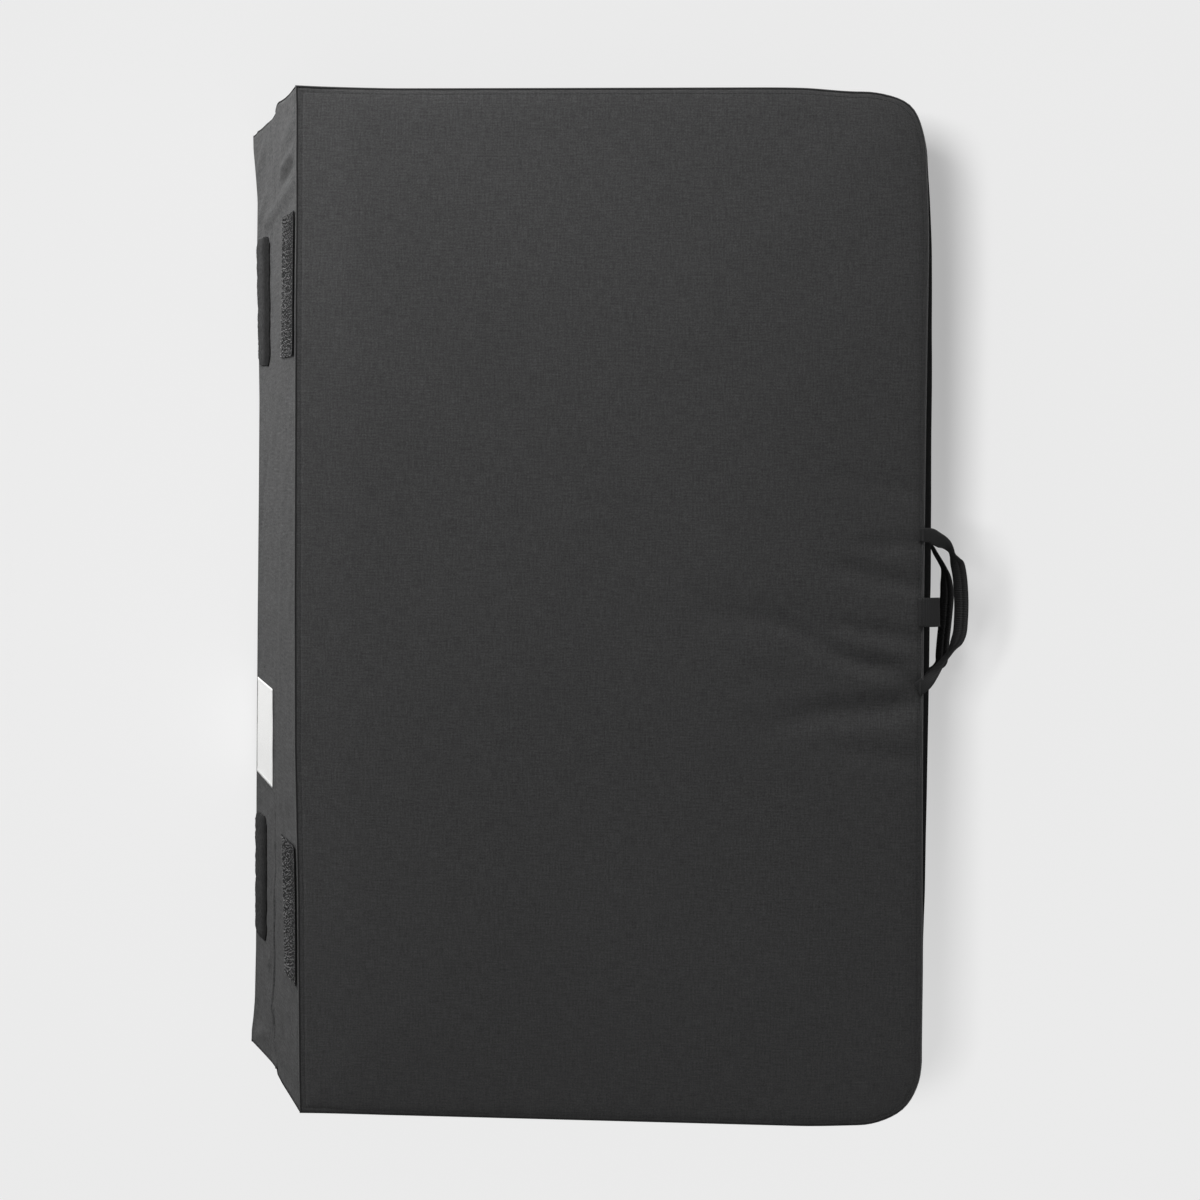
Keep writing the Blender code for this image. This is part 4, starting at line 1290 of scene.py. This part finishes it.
def build_handles():
    """Both grab loops, and the bar tacks on the upper one."""
    upper = grab_handle("upper_handle", UPPER_STOPS, WEBBING, None)
    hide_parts("upper_handle")
    bend_at_seam(upper)
    lower = grab_handle("lower_handle", LOWER_STOPS, WEBBING, "lower_grab_handle")
    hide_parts("lower_handle")
    spots = []
    for y in (0.0702, -0.0640):
        spots.append((Vector((0.2985, y, 0.2126)), ALONG, OUT, 0.0100, 0.0022))
    bar_tack("upper_handle_tacks", spots, THREAD, "upper_half")


# Zips

ZIP_START = 0.140
ZIP_END = 0.520
WALL_MIDDLE = (THICKNESS + LANDING_DEPTH) / 2
TAPE_PLACE = 0.0068
TAPE_SIZE = (0.0122, 0.0010)
TAPE_STITCHES = 0.0106
COIL_PITCH = 0.0019
COIL_INSET = 0.008
STOP_INSET = 0.0022
STOP_SIZE = (0.0026, 0.0014, 0.0070)


def side_wall_point(side, u, depth, lift):
    """A point on the -Y wall, lift metres outside it."""
    edge = spine_edge(side, depth)
    run = (u - edge) / (SIDE_RUN - edge) * SIDE_RUN
    return on_wall(side, depth, run, lift)


def zip_line(side, hand, off, lift, count):
    """Points along a zip, off to one side of its middle."""
    depth = WALL_MIDDLE + hand * off
    us = [mix(ZIP_START, ZIP_END, index / count) for index in range(count + 1)]
    return [side_wall_point(side, u, depth, lift) for u in us]


def zip_on_wall(side):
    """Two tapes, two rows of coil and the end stops."""
    name, body = HALVES[side]
    tapes = []
    for hand in (1, -1):
        frames = [(point, UP, -ALONG) for point in zip_line(side, hand, TAPE_PLACE, 0.0006, 120)]
        tapes.append(sweep_mesh(frames, lambda row: flat_section(*TAPE_SIZE), False))
    add_mesh(tapes[0], tapes[1])
    tape = finish_piece(name + "_zip_tape", tapes[0], ZIP_TAPE, body)
    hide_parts(name + "_zip_tape")
    places = []
    for index in range(int((ZIP_END - ZIP_START - 2 * COIL_INSET) / COIL_PITCH)):
        u = ZIP_START + COIL_INSET + COIL_PITCH * index
        hand = 1 if index % 2 else -1
        place = side_wall_point(side, u, WALL_MIDDLE + hand * 0.0006, 0.0014)
        places.append(stitch(place, UP, -ALONG, 0.0042, 0.00085))
    sewn(name + "_zip_coil", places, COIL_NYLON, body)
    bm = bmesh.new()
    for u in (ZIP_START + STOP_INSET, ZIP_END - STOP_INSET):
        rounded_block(bm, side_wall_point(side, u, WALL_MIDDLE, 0.0014), STOP_SIZE, 0.0004)
    finish_piece(name + "_zip_stops", bm, SLIDER_METAL, body)
    rows = [(zip_line(side, hand, TAPE_STITCHES, 0.0013, 60), -ALONG) for hand in (1, -1)]
    stitching(name + "_zip_stitches", rows, THREAD, body, 0.0030, 0.0023, 0.00026)


def zip_slider(side):
    """Slider body with its bridge and a flat pull with a rounded hole."""
    name = HALVES[side][0]
    low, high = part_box(name + "_zip_slider")
    middle = (low + high) / 2
    nose = high.x - 0.006
    face = low.y
    bm = bmesh.new()
    for place, size, rounding in (
        ((0.0, 0.0021, 0.0), (0.0118, 0.0016, 0.0098), 0.0006),
        ((0.0030, 0.0021, 0.0), (0.0050, 0.0019, 0.0086), 0.0007),
        ((-0.0010, 0.0008, 0.0), (0.0072, 0.0013, 0.0022), 0.0005),
        ((-0.0160, 0.0007, -0.0020), (0.0215, 0.0010, 0.0012), 0.0003),
        ((-0.0160, 0.0007, 0.0020), (0.0215, 0.0010, 0.0012), 0.0003),
        ((-0.0060, 0.0007, 0.0), (0.0016, 0.0010, 0.0050), 0.0003),
        ((-0.0100, 0.0007, 0.0), (0.0014, 0.0010, 0.0050), 0.0003),
        ((-0.0225, 0.0007, 0.0), (0.0075, 0.0010, 0.0050), 0.0003),
    ):
        rounded_block(bm, Vector((nose, face, middle.z)) + Vector(place), size, rounding)
    piece = finish_piece(name + "_zip_slider", bm, SLIDER_METAL, name + "_slider", smooth=False)
    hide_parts(name + "_zip_slider")


# Harness

STRAP_CHORD = 0.620
STRAP_BOW = 0.060
PAD_SIZE = (0.065, 0.400)
WEBBING_START = 0.4268
WEBBING_SIZE = (0.025, 0.0015)


def strap_place(hand, centre_x, along, across):
    """A point on the bowed strap's plan: along from its top end, across from its inner edge."""
    share = along / STRAP_CHORD
    bow = STRAP_BOW * 4.0 * share * (1.0 - share)
    return centre_x + hand * (bow + across), STRAP_CHORD / 2 - along


def strap_frames(hand, centre_x, start, end, across, z, steps):
    """Frames along a strap, lying flat under the pad."""
    places = (strap_place(hand, centre_x, mix(start, end, index / steps), across) for index in range(steps + 1))
    return [(Vector((x, y, z)), OUT, UP) for x, y in places]


def cushion_section(width, thickness, taper):
    """A padded strap's section: two quilted channels, thin at the bound edges."""
    half = width / 2
    top = []
    count = 14
    for index in range(count + 1):
        share = 2 * index / count - 1
        rise = (1.0 - abs(share) ** 5) ** 0.5 * (1.0 - 0.30 * hump(share, 0.10))
        top.append((half * share, thickness / 2 * (0.22 + 0.78 * rise) * taper))
    return top + [(across, -up * 0.9) for across, up in reversed(top)]


def shoulder_strap(side_name, hand):
    """Padded part with bound edges, buckle, webbing and its sewn ends."""
    body = side_name + "_strap"
    low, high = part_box(side_name + "_shoulder_pad")
    centre_x = low.x if hand > 0 else high.x
    z = (low.z + high.z) / 2
    width, length = PAD_SIZE
    steps = 80
    frames = strap_frames(hand, centre_x, 0.0, length, width / 2, z, steps)
    thickness = high.z - low.z

    def section(row):
        end = min(row, steps - row) / steps * length
        round_end = math.sqrt(max(0.0, 1.0 - (1.0 - min(end / 0.014, 1.0)) ** 2))
        return cushion_section(width * mix(0.80, 1.0, round_end), thickness, mix(0.35, 1.0, round_end))

    pad = sweep(side_name + "_shoulder_pad", frames, section, STRAP_CLOTH, body)
    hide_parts(side_name + "_shoulder_pad")
    for edge, title in ((0.0012, "inner"), (width - 0.0012, "outer")):
        bound = strap_frames(hand, centre_x, 0.010, length - 0.010, edge, z, steps)
        sweep(f"{side_name}_pad_{title}_binding", bound, oval_section(0.0016, 0.0013, 8), BINDING, body)
    rows = []
    for across in (width / 2, 0.0058, width - 0.0058):
        for height in (-1, 1):
            reach = thickness / 2 * (0.62 if across == width / 2 else 0.90)
            line = strap_frames(hand, centre_x, 0.012, length - 0.012, across, z + height * reach, steps)
            rows.append(([frame[0] for frame in line], UP * height))
    stitching(side_name + "_pad_stitches", rows, THREAD, body, 0.0038, 0.0029, 0.00026)
    low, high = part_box(side_name + "_strap_webbing")
    z = (low.z + high.z) / 2
    frames = strap_frames(hand, centre_x, WEBBING_START, STRAP_CHORD, WEBBING_SIZE[0] / 2, z, 40)
    webbing = sweep(side_name + "_strap_webbing", frames, flat_section(*WEBBING_SIZE), WEBBING, body)
    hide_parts(side_name + "_strap_webbing")
    ladder_lock(side_name, body)


def ladder_lock(side_name, body):
    """The buckle: two side rails, three bars and a lifting tongue, each rounded."""
    low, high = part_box(side_name + "_ladder_lock")
    middle = (low + high) / 2
    size = high - low
    bm = bmesh.new()
    rail = 0.0042
    for hand in (-1, 1):
        place = middle + OUT * (hand * (size.x - rail) / 2)
        rounded_block(bm, place, (rail, size.y, size.z), 0.0010, 3)
    for y in (high.y - 0.0026, middle.y, low.y + 0.0026):
        rounded_block(bm, (middle.x, y, middle.z), (size.x - rail, 0.0046, size.z * 0.82), 0.0012, 3)
    place = (middle.x, low.y + 0.0012, middle.z - size.z * 0.18)
    rounded_block(bm, place, (size.x * 0.70, 0.0022, size.z * 0.5), 0.0006, 3)
    piece = finish_piece(side_name + "_ladder_lock", bm, BUCKLE_PLASTIC, body, smooth=False)
    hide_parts(side_name + "_ladder_lock")


def strap_anchor(name):
    """A folded webbing patch with a boxed cross of stitches, sewn under the pad."""
    low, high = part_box(name)
    middle = (low + high) / 2
    size = high - low
    frames = []
    steps = 24
    for index in range(steps + 1):
        share = 2 * index / steps - 1
        frames.append((Vector((middle.x, middle.y + size.y / 2 * share, middle.z)), OUT, UP))

    def section(row):
        share = abs(2 * row / steps - 1)
        full = math.sqrt(max(0.0, 1.0 - max(0.0, (share - 0.9) / 0.1) ** 2))
        return [(x, z * mix(0.45, 1.0, full)) for x, z in flat_section(size.x, size.z, 0.35)]

    piece = sweep(name, frames, section, WEBBING, "lower_half")
    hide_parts(name)
    w, l = size.x / 2 - 0.006, size.y / 2 - 0.006
    z = low.z + 0.0001
    corners = [(-w, -l), (w, -l), (w, l), (-w, l), (-w, -l), (w, l), (w, -l), (-w, l)]
    points = [Vector((middle.x + x, middle.y + y, z)) for x, y in corners]
    stitching(name + "_stitches", [(points, -UP)], THREAD, "lower_half", 0.0030, 0.0023, 0.00030)


# Foam

FOAM_INSET = 0.0022
FOAM_FROM_SPINE = 0.0068
FIRM_DEPTHS = (0.0024, 0.0268)
SOFT_START = 0.0274
SOFT_GAP = {UPPER: 0.0072, LOWER: 0.0024}


def foam_slab(side, layer, low, high, crown, look):
    """A foam slab inside the cover: bevelled edges, the wall's bulge and the face's crown."""
    name, body = HALVES[side]
    rows = [(low, 0.012), (low, 0.003), (low + 0.0012, 0.0)]
    rows += [(mix(low, high, share), 0.0) for share in (0.2, 0.4, 0.6, 0.8)]
    rows += [(high - 0.0012, 0.0), (high, 0.003), (high, 0.012)]
    if crown:
        rows += [(high + CROWN * (1.0 - (1.0 - reach / CROWN_REACH) ** 2) * 0.9, reach)
                 for reach in (0.03, 0.06, 0.10, 0.15, 0.19)]
    rim_count = 200
    count = rim_count + 40

    def ring(depth, in_from_edge):
        gap = FOAM_INSET + in_from_edge
        start = spine_edge(side, depth) + FOAM_FROM_SPINE + in_from_edge
        wall_depth = min(max(depth, LANDING_DEPTH), THICKNESS)
        points = []
        for index in range(rim_count):
            run = RIM_RUN * index / (rim_count - 1)
            u, y, out, over = rim(side, depth, run)
            reach = wall_bulge(run, wall_depth) - gap
            points.append((max(u + out * reach, start), y + over * reach))
        last = points[-1][1]
        points += [(start, last * (1.0 - 2.0 * index / 41)) for index in range(1, 41)]
        return [settle(side, u, y, depth) for u, y in points]

    rings = [ring(depth, reach) for depth, reach in rows]

    def place(a, b):
        return rings[round(b * (len(rings) - 1))][round(a * count) % count]

    bm = mapped_grid(count, len(rings) - 1, place, (RIM_RUN + 2 * HALF_WIDTH, high - low))
    bmesh.ops.remove_doubles(bm, verts=bm.verts, dist=1e-6)
    bmesh.ops.holes_fill(bm, edges=[edge for edge in bm.edges if edge.is_boundary], sides=0)
    bmesh.ops.recalc_face_normals(bm, faces=bm.faces)
    piece = finish_piece(f"{name}_{layer}_slab", bm, look, body)
    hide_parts(f"{name}_{layer}_foam")


def build_foam():
    """Firm foam under the landing face, soft foam outside it."""
    for side in HALVES:
        foam_slab(side, "firm", *FIRM_DEPTHS, False, FIRM_FOAM)
        foam_slab(side, "soft", SOFT_START, THICKNESS - SOFT_GAP[side], side == UPPER, SOFT_FOAM)


# Room

WHITE = (1.0, 1.0, 1.0, 1.0)
FLOOR_SIZE = 6.0
FLOOR_WHITE = 0.842
FLOOR_LIGHT = 0.80
FLOOR_FADE = 0.113
SKY = 0.14
SKY_SEEN = 0.84

# The photograph's camera, fitted to the pad's corners: its turn is in degrees
CAMERA_LENS = 52.38
CAMERA_PLACE = (0.0941, 0.0910, 1.7473)
CAMERA_TURN = (-2.99, 2.90, 0.53)

# Lamps: name, place, aim, size, power, and whether it lights the floor alone or the pad alone
LAMPS = [
    ("floor_lamp", (-0.90, 0.25, 4.00), (0.0, 0.0, 0.0), (0.75, 0.75), 116.0, True),
    ("left_softbox", (-1.10, 0.92, 0.30), (-0.3, 0.0, 0.1), (0.6, 0.6), 17.0, False),
    ("head_softbox", (-0.45, 1.35, 1.05), (0.0, 0.0, 0.2), (0.9, 0.7), 17.5, False),
    ("top_softbox", (0.50, 0.05, 2.60), (0.0, 0.0, 0.0), (2.0, 2.0), 10.5, False),
]


def floor_paint():
    """Matt paint that keeps the pad's shadow, near white to the camera and plain in the light it throws back."""
    paint = bpy.data.materials.new("floor_paint")
    paint.use_nodes = True
    tree = paint.node_tree
    tree.nodes.clear()
    coords = add_node(tree, "ShaderNodeTexCoord").outputs["Object"]
    split = add_node(tree, "ShaderNodeSeparateXYZ", {0: coords}).outputs
    feeds = {"Value": split["Y"], "From Min": -0.50, "From Max": 0.30, "To Min": 0.26, "To Max": 0.62}
    share = add_node(tree, "ShaderNodeMapRange", feeds, interpolation_type="SMOOTHSTEP").outputs[0]
    matt = add_node(tree, "ShaderNodeBsdfDiffuse", {"Color": share})
    plain = add_node(tree, "ShaderNodeBsdfDiffuse", {"Color": (0.60, 0.60, 0.60, 1.0)})
    fading = sum_node(tree, "MULTIPLY_ADD", split["X"], FLOOR_FADE * FLOOR_LIGHT, -FLOOR_LIGHT)
    strength = sum_node(tree, "MULTIPLY_ADD", share, fading, FLOOR_WHITE)
    glow = add_node(tree, "ShaderNodeEmission", {"Color": WHITE, "Strength": strength})
    both = add_node(tree, "ShaderNodeAddShader", {0: matt.outputs[0], 1: glow.outputs[0]})
    seen = add_node(tree, "ShaderNodeLightPath").outputs["Is Camera Ray"]
    pick = add_node(tree, "ShaderNodeMixShader", {0: seen, 1: plain.outputs[0], 2: both.outputs[0]})
    add_node(tree, "ShaderNodeOutputMaterial", {"Surface": pick.outputs[0]})
    return paint


def place_floor():
    """The floor."""
    bm = bmesh.new()
    bmesh.ops.create_grid(bm, x_segments=1, y_segments=1, size=FLOOR_SIZE)
    mesh = bpy.data.meshes.new("floor")
    bm.to_mesh(mesh)
    bm.free()
    mesh.materials.append(floor_paint())
    floor = bpy.data.objects.new("floor", mesh)
    bpy.context.scene.collection.objects.link(floor)
    return floor


def even_sky():
    """A dim even sky that looks pale to the camera and in gloss."""
    world = bpy.data.worlds.new("even_sky")
    world.use_nodes = True
    bpy.context.scene.world = world
    tree = world.node_tree
    rays = add_node(tree, "ShaderNodeLightPath").outputs
    seen = sum_node(tree, "MAXIMUM", rays["Is Camera Ray"], rays["Is Glossy Ray"])
    back = tree.nodes["Background"].inputs
    back["Color"].default_value = WHITE
    join(tree, sum_node(tree, "MULTIPLY_ADD", seen, SKY_SEEN - SKY, SKY), back["Strength"])


def place_lamps(floor):
    """Soft lamps, each for the floor alone or for everything else."""
    for name, place, aim, size, power, lights_floor in LAMPS:
        data = bpy.data.lights.new(name, "AREA")
        data.shape = "RECTANGLE"
        data.size, data.size_y = size
        data.energy = power
        lamp = bpy.data.objects.new(name, data)
        lamp.location = place
        lamp.rotation_euler = (Vector(place) - Vector(aim)).to_track_quat("Z", "Y").to_euler()
        bpy.context.scene.collection.objects.link(lamp)
        chosen = bpy.data.collections.new(name + "_reach")
        chosen.objects.link(floor)
        chosen.collection_objects[0].light_linking.link_state = "INCLUDE" if lights_floor else "EXCLUDE"
        lamp.light_linking.receiver_collection = chosen


def place_camera():
    """The camera at the photograph's place."""
    data = bpy.data.cameras.new("photo_camera")
    data.sensor_width = 36.0
    data.lens = CAMERA_LENS
    camera = bpy.data.objects.new("photo_camera", data)
    camera.location = CAMERA_PLACE
    camera.rotation_euler = [math.radians(angle) for angle in CAMERA_TURN]
    bpy.context.scene.collection.objects.link(camera)
    bpy.context.scene.camera = camera
    bpy.context.scene.view_settings.view_transform = "Standard"


even_sky()
place_lamps(place_floor())
place_camera()
build_covers()
for strip in HOOK_STRIPS:
    hook_strip(*strip)
for strip in LOOP_STRIPS:
    loop_strip(*strip)
blank_patch()
build_handles()
end_tab()
for half in HALVES:
    zip_on_wall(half)
    zip_slider(half)
for strap, way in (("left", -1), ("right", 1)):
    shoulder_strap(strap, way)
    for place in ("top", "bottom"):
        strap_anchor(f"{strap}_{place}_anchor")
build_foam()
